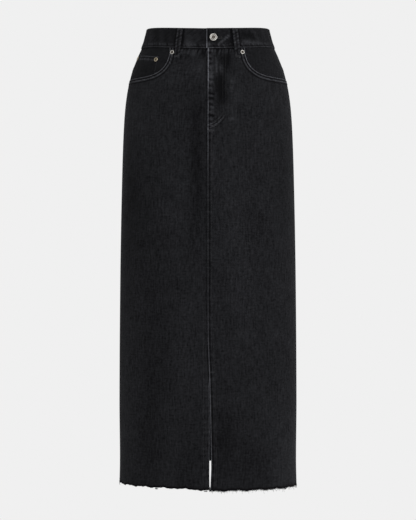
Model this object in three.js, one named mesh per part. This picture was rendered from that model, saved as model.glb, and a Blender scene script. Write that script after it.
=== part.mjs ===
// A long denim skirt with jeans-style front pockets, a lapped fly, a front slit and a raw hem.
// It is filled out as when worn, and hollow. Millimetres, +Z up, the front faces -Y and the
// wearer's right side is at -X. The origin is the middle of the waist, level with the middle
// of the waistband at centre front.
import * as THREE from "three";

// Cloth thicknesses, and the clearance kept between pieces that are sewn together
const DENIM = 1.2;
const BAND = 2.8;
const GAP = 0.3;

// How far each layer's outer face stands out from the skirt's outer surface
const PANEL_OUT = 0;
const LAPPED_OUT = PANEL_OUT - DENIM - GAP;
const COIN_OUT = LAPPED_OUT;
const FACING_OUT = { right: COIN_OUT - DENIM + 0.2 - GAP, left: LAPPED_OUT };
const BAND_OUT = 0.8;

// Levels at centre front, and how much each rises by the side seams and by centre back
const BAND_TOP = { front: 22.4, side: 10.6, back: 17.4 };
const BAND_FOOT = { front: -20.8, side: 12.5, back: 21 };
const YOKE_FOOT = { front: -110, side: 52, back: 22 };
const HEM = { front: -946, side: -3, back: 24 };

// The hem hangs lower on the wearer's left: by how much, and between which angles it gets there
const HEM_DROOP = { by: 4.4, from: -24, full: 6, until: 100, gone: 170 };

// The filled-out form as rings: height, half width at the side seams, depth to front and back
const RINGS = [
  { z: 50, half: 128.5, front: 89, back: 90 },
  { z: 15, half: 137.4, front: 93, back: 94.5 },
  { z: -5, half: 143.5, front: 96, back: 98 },
  { z: -28, half: 153.6, front: 100, back: 104 },
  { z: -65, half: 167.2, front: 106, back: 114 },
  { z: -120, half: 177.9, front: 112, back: 125 },
  { z: -185, half: 183.3, front: 116, back: 130 },
  { z: -315, half: 187.5, front: 118, back: 129 },
  { z: -510, half: 190.9, front: 120, back: 127 },
  { z: -770, half: 192.6, front: 123, back: 130 },
  { z: -900, half: 191.6, front: 125, back: 132 },
  { z: -960, half: 192.8, front: 126.5, back: 134 },
];

// Soft folds: the angle round from centre front and the height of each one's middle, how far it
// spreads round and up, and how deep it sinks, or swells where the depth is negative
const FOLDS = [
  { angle: -8, z: -290, round: 5, tall: 150, deep: 2.6 },
  { angle: 9, z: -100, round: 4, tall: 45, deep: 2.6 },
  { angle: 18, z: -140, round: 6, tall: 60, deep: -1.5 },
  { angle: 34, z: -620, round: 9, tall: 240, deep: 2.2 },
  { angle: -40, z: -760, round: 9, tall: 200, deep: 2.0 },
  { angle: -22, z: -940, round: 8, tall: 130, deep: -1.8 },
  { angle: 52, z: -940, round: 8, tall: 140, deep: -2.0 },
  { angle: 118, z: -420, round: 11, tall: 200, deep: 3.2 },
  { angle: -122, z: -480, round: 10, tall: 230, deep: 3.0 },
  { angle: 158, z: -330, round: 9, tall: 130, deep: 3.6 },
  { angle: -160, z: -390, round: 8, tall: 160, deep: 3.2 },
  { angle: 172, z: -760, round: 9, tall: 220, deep: -2.4 },
  { angle: -140, z: -900, round: 9, tall: 170, deep: -2.6 },
  { angle: 137, z: -900, round: 8, tall: 180, deep: 2.6 },
];

// The front edges: where each front's centre edge lies, down to the slit and along it
const LAP_UNDER = 11;
const FRONT_EDGE = [
  { z: 0, right: LAP_UNDER, left: -1 },
  { z: -560, right: LAP_UNDER, left: -1 },
  { z: -696, right: LAP_UNDER, left: 2.2 },
  { z: -708, right: 2.2, left: 2.7 },
  { z: -800, right: 3.2, left: 5 },
  { z: -903, right: 2.2, left: 7.4 },
  { z: -960, right: 2.1, left: 5.8 },
];
const SLIT_TOP = -708;
const SLIT_RISE = 26; // this far below the slit's top the lower front is level with the upper one
const LAP_SINKS = { full: 4, none: 9 }; // how far past the upper edge the lower front is sunk

// The front's middle lies a little to the wearer's right of the form's middle
const MIDDLE = -1.5;

// Pocket mouths: a scoop from the waistband to the side seam, fuller than an ellipse, and the
// shares of its width at which the panel has columns. Up to a share, the columns run upright.
const MOUTH = { from: 79.5, sideLevel: -78, fullAcross: 3.6, fullDown: 2.2, uprightUntil: 0.3 };
const MOUTH_SHARES = [
  0, 0.01, 0.035, 0.075, 0.13, 0.2, 0.28, 0.366, 0.46, 0.56, 0.66, 0.76, 0.87, 0.985, 1,
];
const FACING_REACH = { inwards: [13, 6, 0], below: 14, flatUntil: 0.075, firstColumn: 4 };
const COIN = { firstColumn: 7, lastColumn: 13, clearOfMouth: 1.5 };
const COIN_TOP = { front: -43.5, side: 17.9, back: 17.9 };

// Belt loops: distance from the middle at the top and foot, or the angle round for those behind
const LOOP = { width: 12, thick: 1.9, belowBand: 22, spring: 1.3 };
const FRONT_LOOP = { top: 57, foot: 65 };
const BACK_LOOPS = { back_right: -124, back_left: 124, centre_back: 180 };

// Waistband ends: the wearer's left end laps over the right one
const BAND_END = { over: -3.4, under: 37, clear: 4, blend: 30 };
const BAND_COLUMNS = 100;

// Metal
const BUTTON = { x: 11.2, z: 3, radius: 8.5, height: 4.6, neck: 4, dish: 1.1 };
const RIVET = { radius: 4.6, height: 1.9, nub: 1.5 };
const MOUTH_RIVET = { x: 74.1, z: -28 };
const COIN_RIVET = { belowTop: 6, inset: 4.9 };

// Frayed edge of the raw hem: locks of thread under each panel
const FRAY = { strip: 2.5, thick: 0.9, locks: 38, shortest: 1.2, longest: 4.6 };

const HALF_TURN = Math.PI;
const QUARTER = Math.PI / 2;
const rad = THREE.MathUtils.degToRad;
const { clamp, lerp, smoothstep } = THREE.MathUtils;

// A smooth curve through the rows of a table, from its highest row down, for one column
function alongTable(rows, z, column) {
  const last = rows.length - 2;
  const i = clamp(rows.findIndex((row) => row.z <= z) - 1, 0, last);
  const slope = (a, b) => (rows[b][column] - rows[a][column]) / (rows[b].z - rows[a].z);
  const tangent = (k) => slope(Math.max(k - 1, 0), Math.min(k + 1, last + 1));
  const [high, low] = [rows[i], rows[i + 1]];
  const span = low.z - high.z;
  const t = clamp((z - high.z) / span, 0, 1);
  const [t2, t3] = [t * t, t * t * t];
  return (
    (2 * t3 - 3 * t2 + 1) * high[column] +
    (t3 - 2 * t2 + t) * span * tangent(i) +
    (3 * t2 - 2 * t3) * low[column] +
    (t3 - t2) * span * tangent(i + 1)
  );
}

// A straight-line reading of the same kind of table
function betweenRows(rows, z, column) {
  const i = clamp(rows.findIndex((row) => row.z <= z) - 1, 0, rows.length - 2);
  const t = clamp((z - rows[i].z) / (rows[i + 1].z - rows[i].z), 0, 1);
  return lerp(rows[i][column], rows[i + 1][column], t);
}

// The height of an edge that runs round the skirt: its front level plus its rise at side and back
function level(edge, angle) {
  const front = Math.cos(angle) > 0;
  const toSide = Math.sin(angle) ** 2;
  return edge.front + (front ? edge.side * toSide : lerp(edge.back, edge.side, toSide));
}

// Angle between two directions round the skirt, at most half a turn
function turnBetween(a, b) {
  const turn = Math.abs(a - b) % (2 * HALF_TURN);
  return Math.min(turn, 2 * HALF_TURN - turn);
}

function folds(angle, z) {
  return FOLDS.reduce((sum, fold) => {
    const across = turnBetween(angle, rad(fold.angle)) / rad(fold.round);
    const along = (z - fold.z) / fold.tall;
    return sum - fold.deep * Math.exp(-across * across - along * along);
  }, 0);
}

// The outward direction and the point of the cloth at an angle round from centre front
function outward(angle, z) {
  const half = alongTable(RINGS, z, "half");
  const depth = alongTable(RINGS, z, Math.cos(angle) > 0 ? "front" : "back");
  return new THREE.Vector3(Math.sin(angle) / half, -Math.cos(angle) / depth, 0).normalize();
}

function onCloth(angle, z, out) {
  const half = alongTable(RINGS, z, "half");
  const depth = alongTable(RINGS, z, Math.cos(angle) > 0 ? "front" : "back");
  const ring = new THREE.Vector3(Math.sin(angle) * half, -Math.cos(angle) * depth, z);
  return ring.addScaledVector(outward(angle, z), out + folds(angle, z));
}

// The direction square to the cloth, which leans up or down where the form widens
function squareTo(angle, z) {
  const [turn, rise] = [0.01, 1];
  const round = onCloth(angle + turn, z, 0).sub(onCloth(angle - turn, z, 0));
  const up = onCloth(angle, z + rise, 0).sub(onCloth(angle, z - rise, 0));
  return round.cross(up).normalize();
}

// Millimetres round the cloth for each radian of angle
function roundPerRadian(angle, z) {
  const turn = 0.01;
  return onCloth(angle + turn, z, 0).distanceTo(onCloth(angle - turn, z, 0)) / (2 * turn);
}

// The angle on the front at which the cloth is x from the form's middle
const angleAt = (x, z) => Math.asin(clamp(x / alongTable(RINGS, z, "half"), -1, 1));

// A closed wall over a grid. point(column, row, face) gives a corner, with face 1 on the outside
// and 0 on the inside. Columns run round with growing angle and rows run down.
function wall(columns, rows, point) {
  const positions = [];
  for (const face of [1, 0])
    for (let c = 0; c < columns; c++)
      for (let r = 0; r < rows; r++) positions.push(...point(c, r, face).toArray());
  const corner = (c, r, face) => (1 - face) * columns * rows + c * rows + r;
  const index = [];
  const quad = (a, b, c, d) => index.push(a, b, c, a, c, d);
  for (let c = 0; c + 1 < columns; c++)
    for (let r = 0; r + 1 < rows; r++) {
      quad(corner(c, r, 1), corner(c, r + 1, 1), corner(c + 1, r + 1, 1), corner(c + 1, r, 1));
      quad(corner(c, r, 0), corner(c + 1, r, 0), corner(c + 1, r + 1, 0), corner(c, r + 1, 0));
    }
  for (let c = 0; c + 1 < columns; c++) {
    const foot = rows - 1;
    quad(corner(c, 0, 0), corner(c, 0, 1), corner(c + 1, 0, 1), corner(c + 1, 0, 0));
    quad(corner(c, foot, 1), corner(c, foot, 0), corner(c + 1, foot, 0), corner(c + 1, foot, 1));
  }
  for (let r = 0; r + 1 < rows; r++) {
    const end = columns - 1;
    quad(corner(0, r, 0), corner(0, r + 1, 0), corner(0, r + 1, 1), corner(0, r, 1));
    quad(corner(end, r, 1), corner(end, r + 1, 1), corner(end, r + 1, 0), corner(end, r, 0));
  }
  const geometry = new THREE.BufferGeometry();
  geometry.setAttribute("position", new THREE.Float32BufferAttribute(positions, 3));
  geometry.setIndex(index);
  geometry.computeVertexNormals();
  return geometry;
}

const washedBlack = new THREE.MeshStandardMaterial({ color: 0x232426, roughness: 0.93, metalness: 0 });
const deepBlack = new THREE.MeshStandardMaterial({ color: 0x1b1c1e, roughness: 0.95, metalness: 0 });
const nickel = new THREE.MeshStandardMaterial({ color: 0xc9c3b6, roughness: 0.3, metalness: 1 });

const skirt = new THREE.Group();
skirt.name = "skirt";

function add(name, geometry, material) {
  const mesh = new THREE.Mesh(geometry, material);
  mesh.name = name;
  skirt.add(mesh);
  return mesh;
}

// Front panels. Each has columns parallel to its centre edge, then one column for each step
// along the pocket mouth, which forms its top edge as far as the side seam.
const SIDES = { right: -1, left: 1 };
const CENTRE_COLUMNS = [0, 6, 12.6, 20, 31, 45, 59, 70];
const FRONT_ROWS = [
  -33, -46, -60, -77, -96, -117, -142, -172, -208, -252, -302, -358, -416, -474, -532, -588, -644,
  -696, -708, -734, -768, -804, -842, -880, -912, -932,
];

function hemLevel(angle) {
  const turn = THREE.MathUtils.radToDeg(angle);
  const lower = smoothstep(turn, HEM_DROOP.from, HEM_DROOP.full);
  const higher = smoothstep(turn, HEM_DROOP.until, HEM_DROOP.gone);
  return level(HEM, angle) - HEM_DROOP.by * (lower - higher);
}
const panelFoot = (angle) => hemLevel(angle) + FRAY.strip + GAP;
const panelTop = (angle) => level(BAND_FOOT, angle) - GAP;

// The front's rows as shares of the way from its top edge to its hem
const downFront = (z) => (z - panelTop(0)) / (panelFoot(0) - panelTop(0));
const ROW_SHARES = [0, ...FRONT_ROWS.map(downFront), 1];

// Half a seam's clearance as an angle, at the side seams and at centre back
const halfSeam = (angle) => GAP / 2 / roundPerRadian(angle, HEM.front / 2);
const SIDE_SEAM = halfSeam(QUARTER);
const BACK_SEAM = halfSeam(HALF_TURN);

// A point of a pocket mouth, by its share of the way across to the side seam, with the angle of
// the panel's column at any height below it. The mouth starts straight down, so the columns
// there do too, and those nearer to the side seam spread out with the hips as it does.
function mouth(side, share) {
  const from = MOUTH.from + side * MIDDLE;
  const start = panelTop(angleAt(from, BAND_FOOT.front));
  const fallen = (1 - (1 - share) ** MOUTH.fullAcross) ** (1 / MOUTH.fullDown);
  const z = lerp(start, MOUTH.sideLevel, fallen);
  const half = (height) => alongTable(RINGS, height, "half");
  const x = lerp(from, half(MOUTH.sideLevel), share);
  const spreading = smoothstep(share, 0, MOUTH.uprightUntil);
  const angleDown = (height) => {
    const wider = lerp(1, half(height) / half(z), spreading);
    return Math.min(angleAt(x * wider, height), QUARTER - SIDE_SEAM);
  };
  return { angle: angleDown(z), z, angleDown };
}

// How far the wearer's right front sinks where it passes under the left one
function lapDepth(x, z) {
  const edge = betweenRows(FRONT_EDGE, z, "left");
  const across = 1 - smoothstep(edge - x, LAP_SINKS.full, LAP_SINKS.none);
  const aboveSlit = smoothstep(z, SLIT_TOP - SLIT_RISE, SLIT_TOP);
  return (LAPPED_OUT - PANEL_OUT) * across * aboveSlit;
}

function frontPanel(name) {
  const side = SIDES[name];
  const centre = CENTRE_COLUMNS.map((distance) => (share) => {
    const height = lerp(panelTop(0), panelFoot(0), share);
    const angle = angleAt(side * betweenRows(FRONT_EDGE, height, name) + distance, height);
    return { angle, z: lerp(panelTop(angle), panelFoot(side * angle), share) };
  });
  const pocket = MOUTH_SHARES.map((across) => {
    const { z: top, angleDown } = mouth(side, across);
    const foot = panelFoot(side * angleDown(panelFoot(0)));
    return (share) => {
      const z = lerp(top, foot, share);
      return { angle: angleDown(z), z };
    };
  });
  const columns = [...centre, ...pocket];
  if (side < 0) columns.reverse();
  return wall(columns.length, ROW_SHARES.length, (c, r, face) => {
    const { angle: aside, z } = columns[c](ROW_SHARES[r]);
    const angle = side * aside;
    const x = Math.sin(angle) * alongTable(RINGS, z, "half");
    const sunk = side < 0 ? lapDepth(x, z) : 0;
    return onCloth(angle, z, PANEL_OUT + sunk - (1 - face) * DENIM);
  });
}
add("front_right", frontPanel("right"), washedBlack);
add("front_left", frontPanel("left"), washedBlack);

// Back: a yoke over a long panel on each side, joined at centre back
const BACK_COLUMNS = 15;
const YOKE_SHARES = [0, 0.25, 0.5, 0.75, 1];
const BACK_SHARES = Array.from({ length: 25 }, (_, i) => (i / 24) ** 1.15);

function backPiece(side, top, foot, shares) {
  const from = side > 0 ? QUARTER + SIDE_SEAM : -HALF_TURN + BACK_SEAM;
  const to = side > 0 ? HALF_TURN - BACK_SEAM : -QUARTER - SIDE_SEAM;
  return wall(BACK_COLUMNS, shares.length, (c, r, face) => {
    const angle = lerp(from, to, c / (BACK_COLUMNS - 1));
    const z = lerp(top(angle), foot(angle), shares[r]);
    return onCloth(angle, z, PANEL_OUT - (1 - face) * DENIM);
  });
}
const yokeFoot = (angle) => level(YOKE_FOOT, angle);
for (const [name, side] of Object.entries(SIDES)) {
  add(`yoke_${name}`, backPiece(side, panelTop, yokeFoot, YOKE_SHARES), washedBlack);
  const belowYoke = (angle) => yokeFoot(angle) - GAP;
  add(`back_${name}`, backPiece(side, belowYoke, panelFoot, BACK_SHARES), washedBlack);
}

// Pocket facings, behind the mouths, with columns as the mouths have and a few more inwards
const FACING_ROWS = 6;

function facing(name) {
  const side = SIDES[name];
  const inner = FACING_REACH.inwards.map((reach) => ({
    angle: angleAt(MOUTH.from + side * MIDDLE - reach, BAND_FOOT.front),
    z: mouth(side, FACING_REACH.flatUntil).z,
  }));
  const along = MOUTH_SHARES.slice(FACING_REACH.firstColumn).map((share) => mouth(side, share));
  const columns = [...inner, ...along];
  if (side < 0) columns.reverse();
  return wall(columns.length, FACING_ROWS, (c, r, face) => {
    const angle = side * columns[c].angle;
    const foot = columns[c].z - FACING_REACH.below;
    const z = lerp(panelTop(angle), foot, r / (FACING_ROWS - 1));
    return onCloth(angle, z, FACING_OUT[name] - (1 - face) * DENIM);
  });
}
add("pocket_facing_right", facing("right"), deepBlack);
add("pocket_facing_left", facing("left"), deepBlack);

// Coin pocket, on the right facing, down to the edge of the mouth
const COIN_CLOTH = DENIM - 0.2;
const COIN_ROWS = 5;

function coinPocket() {
  const side = SIDES.right;
  const shares = MOUTH_SHARES.slice(COIN.firstColumn, COIN.lastColumn + 1);
  const columns = shares.map((share) => mouth(side, share));
  columns.reverse();
  return wall(columns.length, COIN_ROWS, (c, r, face) => {
    const top = level(COIN_TOP, columns[c].angle);
    const foot = columns[c].z + COIN.clearOfMouth;
    const z = lerp(top, foot, r / (COIN_ROWS - 1));
    return onCloth(side * columns[c].angle, z, COIN_OUT - (1 - face) * COIN_CLOTH);
  });
}
add("coin_pocket", coinPocket(), deepBlack);

// Waistband: one strip that runs from its over-lapping end round to the end beneath
function bandShift(angle) {
  const lift = (BAND + GAP) / 2;
  const pastUnder = (distance) => angleAt(BAND_END.under + distance, 0);
  const beforeOver = (distance) => 2 * HALF_TURN + angleAt(BAND_END.over - distance, 0);
  const over = 1 - smoothstep(angle, pastUnder(BAND_END.clear), pastUnder(BAND_END.blend));
  const under = smoothstep(angle, beforeOver(BAND_END.blend), beforeOver(BAND_END.clear));
  return lift * (over - under);
}

// Its section, from the outside foot up and over the folded top to the inside foot. The seam
// allowances inside make the low ridge above the foot.
const BAND_SECTION = [
  { up: 0, out: BAND_OUT },
  { up: 0.2, out: BAND_OUT + 0.3 },
  { up: 0.38, out: BAND_OUT },
  { up: 0.96, out: BAND_OUT },
  { up: 1, out: BAND_OUT - 0.7 },
];
const BAND_INSIDE = [0, 0.2, 0.38, 0.96, 1];

function waistband() {
  const from = angleAt(BAND_END.over, 0);
  const to = 2 * HALF_TURN + angleAt(BAND_END.under, 0);
  const rows = BAND_SECTION.length;
  return wall(BAND_COLUMNS, rows, (c, r, face) => {
    const angle = lerp(from, to, c / (BAND_COLUMNS - 1));
    const row = rows - 1 - r;
    const up = face ? BAND_SECTION[row].up : BAND_INSIDE[row];
    const z = lerp(level(BAND_FOOT, angle), level(BAND_TOP, angle), up);
    const turnedIn = up === 1 ? 0.7 : 0;
    const out = face ? BAND_SECTION[row].out : BAND_OUT - BAND + turnedIn;
    return onCloth(angle, z, out + bandShift(angle));
  });
}
add("waistband", waistband(), washedBlack);

// Belt loops: folded strips from the band's top edge to just below its foot. Each row gives
// the way down from the top, and how far the strip stands off what it lies on.
function beltLoop(middleAngle, lift) {
  const top = (angle) => level(BAND_TOP, angle) - 0.6;
  const foot = (angle) => level(BAND_FOOT, angle) - LOOP.belowBand;
  const lying = BAND_OUT + GAP + lift;
  const rows = [
    { down: 0, off: lying },
    { down: 0.1, off: lying + LOOP.spring * 0.7 },
    { down: 0.3, off: lying + LOOP.spring },
    { down: 0.5, off: lying + LOOP.spring },
    { down: 0.66, off: lying + LOOP.spring * 0.4 },
    { down: 0.73, off: lying + 0.2 },
    { down: 0.82, off: PANEL_OUT + GAP + 0.5 },
    { down: 0.9, off: PANEL_OUT + GAP },
    { down: 1, off: PANEL_OUT + GAP },
  ];
  return wall(3, rows.length, (c, r, face) => {
    const middle = middleAngle(rows[r].down);
    const z = lerp(top(middle), foot(middle), rows[r].down);
    const across = ((c - 1) * (LOOP.width / 2)) / roundPerRadian(middle, z);
    return onCloth(middle + across, z, rows[r].off + face * LOOP.thick);
  });
}
for (const [name, side] of Object.entries(SIDES)) {
  const middle = (down) => {
    const x = side * lerp(FRONT_LOOP.top, FRONT_LOOP.foot, down) + MIDDLE;
    return angleAt(x, lerp(BAND_TOP.front, BAND_FOOT.front - LOOP.belowBand, down));
  };
  const lift = Math.max(bandShift(angleAt(FRONT_LOOP.top + MIDDLE - LOOP.width, 0)), 0);
  add(`belt_loop_front_${name}`, beltLoop(middle, side > 0 ? lift : 0), washedBlack);
}
for (const [name, angle] of Object.entries(BACK_LOOPS))
  add(`belt_loop_${name}`, beltLoop(() => rad(angle), 0), washedBlack);

// Metal pieces are turned, then set on the cloth with their axis square to it
function setOnCloth(mesh, angle, z, out) {
  const axis = squareTo(angle, z);
  mesh.position.copy(onCloth(angle, z, out)).addScaledVector(axis, GAP);
  mesh.quaternion.setFromUnitVectors(new THREE.Vector3(0, 1, 0), axis);
}

function turned(profile, segments) {
  const points = profile.map(([radius, height]) => new THREE.Vector2(radius, height));
  return new THREE.LatheGeometry(points, segments);
}

const buttonProfile = [
  [0, 0],
  [BUTTON.neck, 0],
  [BUTTON.neck, BUTTON.height * 0.4],
  [BUTTON.radius - 0.7, BUTTON.height * 0.42],
  [BUTTON.radius, BUTTON.height * 0.62],
  [BUTTON.radius - 0.4, BUTTON.height * 0.92],
  [BUTTON.radius - 1.4, BUTTON.height],
  [BUTTON.radius * 0.62, BUTTON.height - BUTTON.dish],
  [BUTTON.radius * 0.28, BUTTON.height - BUTTON.dish],
  [BUTTON.radius * 0.2, BUTTON.height - BUTTON.dish * 0.4],
  [0, BUTTON.height - BUTTON.dish * 0.4],
];
const rivetProfile = [
  [0, 0],
  [RIVET.radius - 0.3, 0],
  [RIVET.radius, 0.5],
  [RIVET.radius - 0.7, RIVET.height * 0.8],
  [RIVET.nub + 1, RIVET.height * 0.55],
  [RIVET.nub, RIVET.height],
  [0, RIVET.height],
];

const buttonAngle = angleAt(BUTTON.x, BUTTON.z);
const button = add("button", turned(buttonProfile, 28), nickel);
setOnCloth(button, buttonAngle, BUTTON.z, BAND_OUT + bandShift(buttonAngle));

for (const [name, side] of Object.entries(SIDES)) {
  const rivet = add(`pocket_rivet_${name}`, turned(rivetProfile, 16), nickel);
  const angle = angleAt(side * MOUTH_RIVET.x + MIDDLE, MOUTH_RIVET.z);
  setOnCloth(rivet, angle, MOUTH_RIVET.z, PANEL_OUT);
}

// The coin pocket's rivets, one in each top corner
for (const [name, column, towards] of [
  ["coin_rivet_inner", COIN.firstColumn, 1],
  ["coin_rivet_outer", COIN.lastColumn, -1],
]) {
  const corner = mouth(SIDES.right, MOUTH_SHARES[column]).angle;
  const z = level(COIN_TOP, corner) - COIN_RIVET.belowTop;
  const angle = corner + (towards * COIN_RIVET.inset) / roundPerRadian(corner, z);
  const rivet = add(name, turned(rivetProfile, 16), nickel);
  setOnCloth(rivet, SIDES.right * angle, z, COIN_OUT);
}

// Frayed locks along the raw hem. A strip along each panel's foot carries pointed locks, whose
// lengths vary.
const uneven = (n) => {
  const value = Math.sin(n * 12.9898) * 43758.5453;
  return value - Math.floor(value);
};

function frayedEdge(seed, from, to) {
  const columns = 2 * FRAY.locks + 1;
  const inset = PANEL_OUT - (DENIM - FRAY.thick) / 2;
  return wall(columns, 2, (c, r, face) => {
    const lean = c % 2 ? 0.6 * (uneven(seed + c) - 0.5) : 0;
    const angle = lerp(from, to, (c + (r ? lean : 0)) / (columns - 1));
    const reach = lerp(FRAY.shortest, FRAY.longest, uneven(seed * 7 + c) ** 2.5);
    const foot = hemLevel(angle) - (c % 2 ? reach : 0);
    const z = r ? foot : hemLevel(angle) + FRAY.strip;
    return onCloth(angle, z, inset - (1 - face) * FRAY.thick);
  });
}
const footEdge = (name) => angleAt(SIDES[name] * betweenRows(FRONT_EDGE, HEM.front, name), HEM.front);
const FRAYED = [
  { name: "front_right", from: -QUARTER + SIDE_SEAM, to: -footEdge("right") },
  { name: "front_left", from: footEdge("left"), to: QUARTER - SIDE_SEAM },
  { name: "back_left", from: QUARTER + SIDE_SEAM, to: HALF_TURN - BACK_SEAM },
  { name: "back_right", from: -HALF_TURN + BACK_SEAM, to: -QUARTER - SIDE_SEAM },
];
FRAYED.forEach(({ name, from, to }, i) =>
  add(`hem_fray_${name}`, frayedEdge(31 * (i + 1), from, to), deepBlack),
);

export default skirt;
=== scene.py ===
# A long skirt of washed black denim, filled out as when worn. Tables and sizes are in
# millimetres and degrees, and meshes in metres. The front faces -Y, +Z is up, and the wearer's
# right side is at -X. Angles run round from centre front towards the wearer's left.
import math

import bpy
import numpy as np
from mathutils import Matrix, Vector


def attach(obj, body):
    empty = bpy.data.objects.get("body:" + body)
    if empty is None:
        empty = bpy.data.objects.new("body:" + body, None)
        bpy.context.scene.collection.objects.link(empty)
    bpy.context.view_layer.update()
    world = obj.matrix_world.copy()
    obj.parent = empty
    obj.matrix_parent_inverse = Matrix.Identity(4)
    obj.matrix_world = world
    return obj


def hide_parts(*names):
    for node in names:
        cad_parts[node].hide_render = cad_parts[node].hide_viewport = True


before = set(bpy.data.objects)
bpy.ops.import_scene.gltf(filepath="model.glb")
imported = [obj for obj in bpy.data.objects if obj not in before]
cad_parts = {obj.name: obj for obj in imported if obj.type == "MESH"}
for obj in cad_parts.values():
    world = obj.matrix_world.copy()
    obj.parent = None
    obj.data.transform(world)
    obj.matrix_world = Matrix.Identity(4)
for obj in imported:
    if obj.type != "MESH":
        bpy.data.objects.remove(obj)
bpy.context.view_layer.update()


# The two fronts
# Each is one length of washed black denim twill with a scoop cut out for the pocket mouth.
# The wearer's left one laps over the right one down the middle and is sewn to it, and below
# the slit's top both are folded back and topstitched.
MM = 0.001
DENIM = 1.2
GAP = 0.3
MIDDLE = -1.5
RIGHT, LEFT = -1, 1
SIDES = ((RIGHT, "right"), (LEFT, "left"))

RING_COLUMNS = ("level", "half", "front", "back")
RINGS = np.array([
    (50, 128.5, 89, 90), (15, 137.4, 93, 94.5), (-5, 143.5, 96, 98), (-28, 153.6, 100, 104),
    (-65, 167.2, 106, 114), (-120, 177.9, 112, 125), (-185, 183.3, 116, 130),
    (-315, 187.5, 118, 129), (-510, 190.9, 120, 127), (-770, 192.6, 123, 130),
    (-900, 191.6, 125, 132), (-960, 192.8, 126.5, 134),
])

# Soft spots on the cloth, here the broad folds, by angle, level, spread round and down, and depth
SPOT_COLUMNS = ("angle", "level", "round", "tall", "amount")
FOLDS = [
    (-8, -290, 5, 150, 2.6), (9, -100, 4, 45, 2.6), (18, -140, 6, 60, -1.5),
    (34, -620, 9, 240, 2.2), (-40, -760, 9, 200, 2), (-22, -940, 8, 130, -1.8),
    (52, -940, 8, 140, -2), (118, -420, 11, 200, 3.2), (-122, -480, 10, 230, 3),
    (158, -330, 9, 130, 3.6), (-160, -390, 8, 160, 3.2), (172, -760, 9, 220, -2.4),
    (-140, -900, 9, 170, -2.6), (137, -900, 8, 180, 2.6),
]

# Creases and small swells, from one end to the other, with half width and depth
CREASE_COLUMNS = ("angle", "level", "to_angle", "to_level", "wide", "deep")
CREASES = [
    (16.5, -24, 12, -72, 5.5, 1.2), (11, -70, 8.2, -138, 5.5, 1.5),
    (13.5, -128, 9.5, -176, 4, -0.9), (12, -172, 18.5, -146, 3.5, 0.8),
    (15.5, -196, 25, -176, 5, 0.6), (34.5, -116, 38.5, -108, 2.6, 0.7),
    (37, -128, 41.5, -118, 3, 0.5), (22, -70, 26, -104, 5, 0.6), (6.5, -205, 13, -220, 4, 0.6),
    (-15, -62, -19.5, -96, 6, -0.8), (-21.5, -52, -24.5, -88, 4, 0.6),
    (-9, -36, -14, -58, 4.5, 0.6), (-4.5, -150, -9.5, -196, 6.5, 0.7),
    (-30, -150, -22, -172, 6, 0.5), (-46, -210, -37, -232, 7, 0.6), (-52, -330, -40, -352, 8, 0.5),
    (40, -262, 52, -286, 8, 0.6), (26, -420, 37, -398, 9, 0.5), (-20, -520, -31, -548, 9, 0.5),
    (16, -690, 25, -742, 9, 0.7), (-14, -800, -25, -842, 9, 0.6), (44, -812, 57, -786, 9, 0.6),
    (-55, -872, -41, -894, 9, 0.6), (-10, -905, -15, -948, 7, -0.7), (27, -900, 31, -948, 8, -0.8),
    (104, -150, 118, -178, 8, 0.8), (128, -208, 150, -224, 8, 0.9), (154, -262, 172, -244, 7, 0.8),
    (140, -300, 160, -322, 9, 0.7), (-106, -168, -121, -190, 8, 0.8),
    (-131, -226, -150, -214, 7, 0.8), (-156, -250, -173, -268, 8, 0.9),
    (-144, -318, -163, -306, 9, 0.7), (126, -560, 142, -590, 10, 0.6),
    (-118, -620, -136, -596, 10, 0.6), (98, -700, 110, -742, 9, 0.6),
    (-150, -770, -162, -820, 9, 0.6),
]


def ring(column, level):
    """One measure of the form at a level, on a smooth curve through the rings."""
    levels = RINGS[:, 0]
    values = RINGS[:, RING_COLUMNS.index(column)]
    last = len(levels) - 1
    after = np.minimum(np.arange(last + 1) + 1, last)
    before = np.maximum(np.arange(last + 1) - 1, 0)
    slopes = (values[after] - values[before]) / (levels[after] - levels[before])
    high = np.clip(np.searchsorted(-levels, -level, side="left") - 1, 0, last - 1)
    span = levels[high + 1] - levels[high]
    t = np.clip((level - levels[high]) / span, 0, 1)
    blend = t * t * (3 - 2 * t)
    bow = span * t * (1 - t) * ((1 - t) * slopes[high] - t * slopes[high + 1])
    return values[high] * (1 - blend) + values[high + 1] * blend + bow


def turn_from(angle, other):
    """Signed turn between two directions round the skirt, at most half a turn."""
    return (angle - other + math.pi) % (2 * math.pi) - math.pi


def spots(table, angle, level):
    """The sum of soft spots: middle, level, spread round in degrees and down, and amount."""
    total = np.zeros(np.broadcast(angle, level).shape)
    for middle, height, spread, tall, amount in table:
        across = turn_from(angle, math.radians(middle)) / math.radians(spread)
        total += amount * np.exp(-across**2 - ((level - height) / tall) ** 2)
    return total


def hollows(angle, level):
    """How far the folds and creases sink the cloth, in millimetres."""
    depth = spots(FOLDS, angle, level)
    for start, height, end, end_height, wide, deep in CREASES:
        per_radian = ring("half", height) if abs(math.cos(math.radians(start))) > 0.5 else 125
        across = turn_from(angle, math.radians(start)) * per_radian
        up = level - height
        run = (math.radians(end - start) * per_radian, end_height - height)
        length = math.hypot(*run)
        along = (across * run[0] + up * run[1]) / length**2
        aside = (across * run[1] - up * run[0]) / length
        past = np.maximum(np.abs(along - 0.5) - 0.5, 0) * length / (2.2 * wide)
        taper = np.exp(-((2 * along - 1) ** 2) * 0.7)
        depth += deep * taper * np.exp(-((aside / wide) ** 2) - past**2)
    return depth


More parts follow.
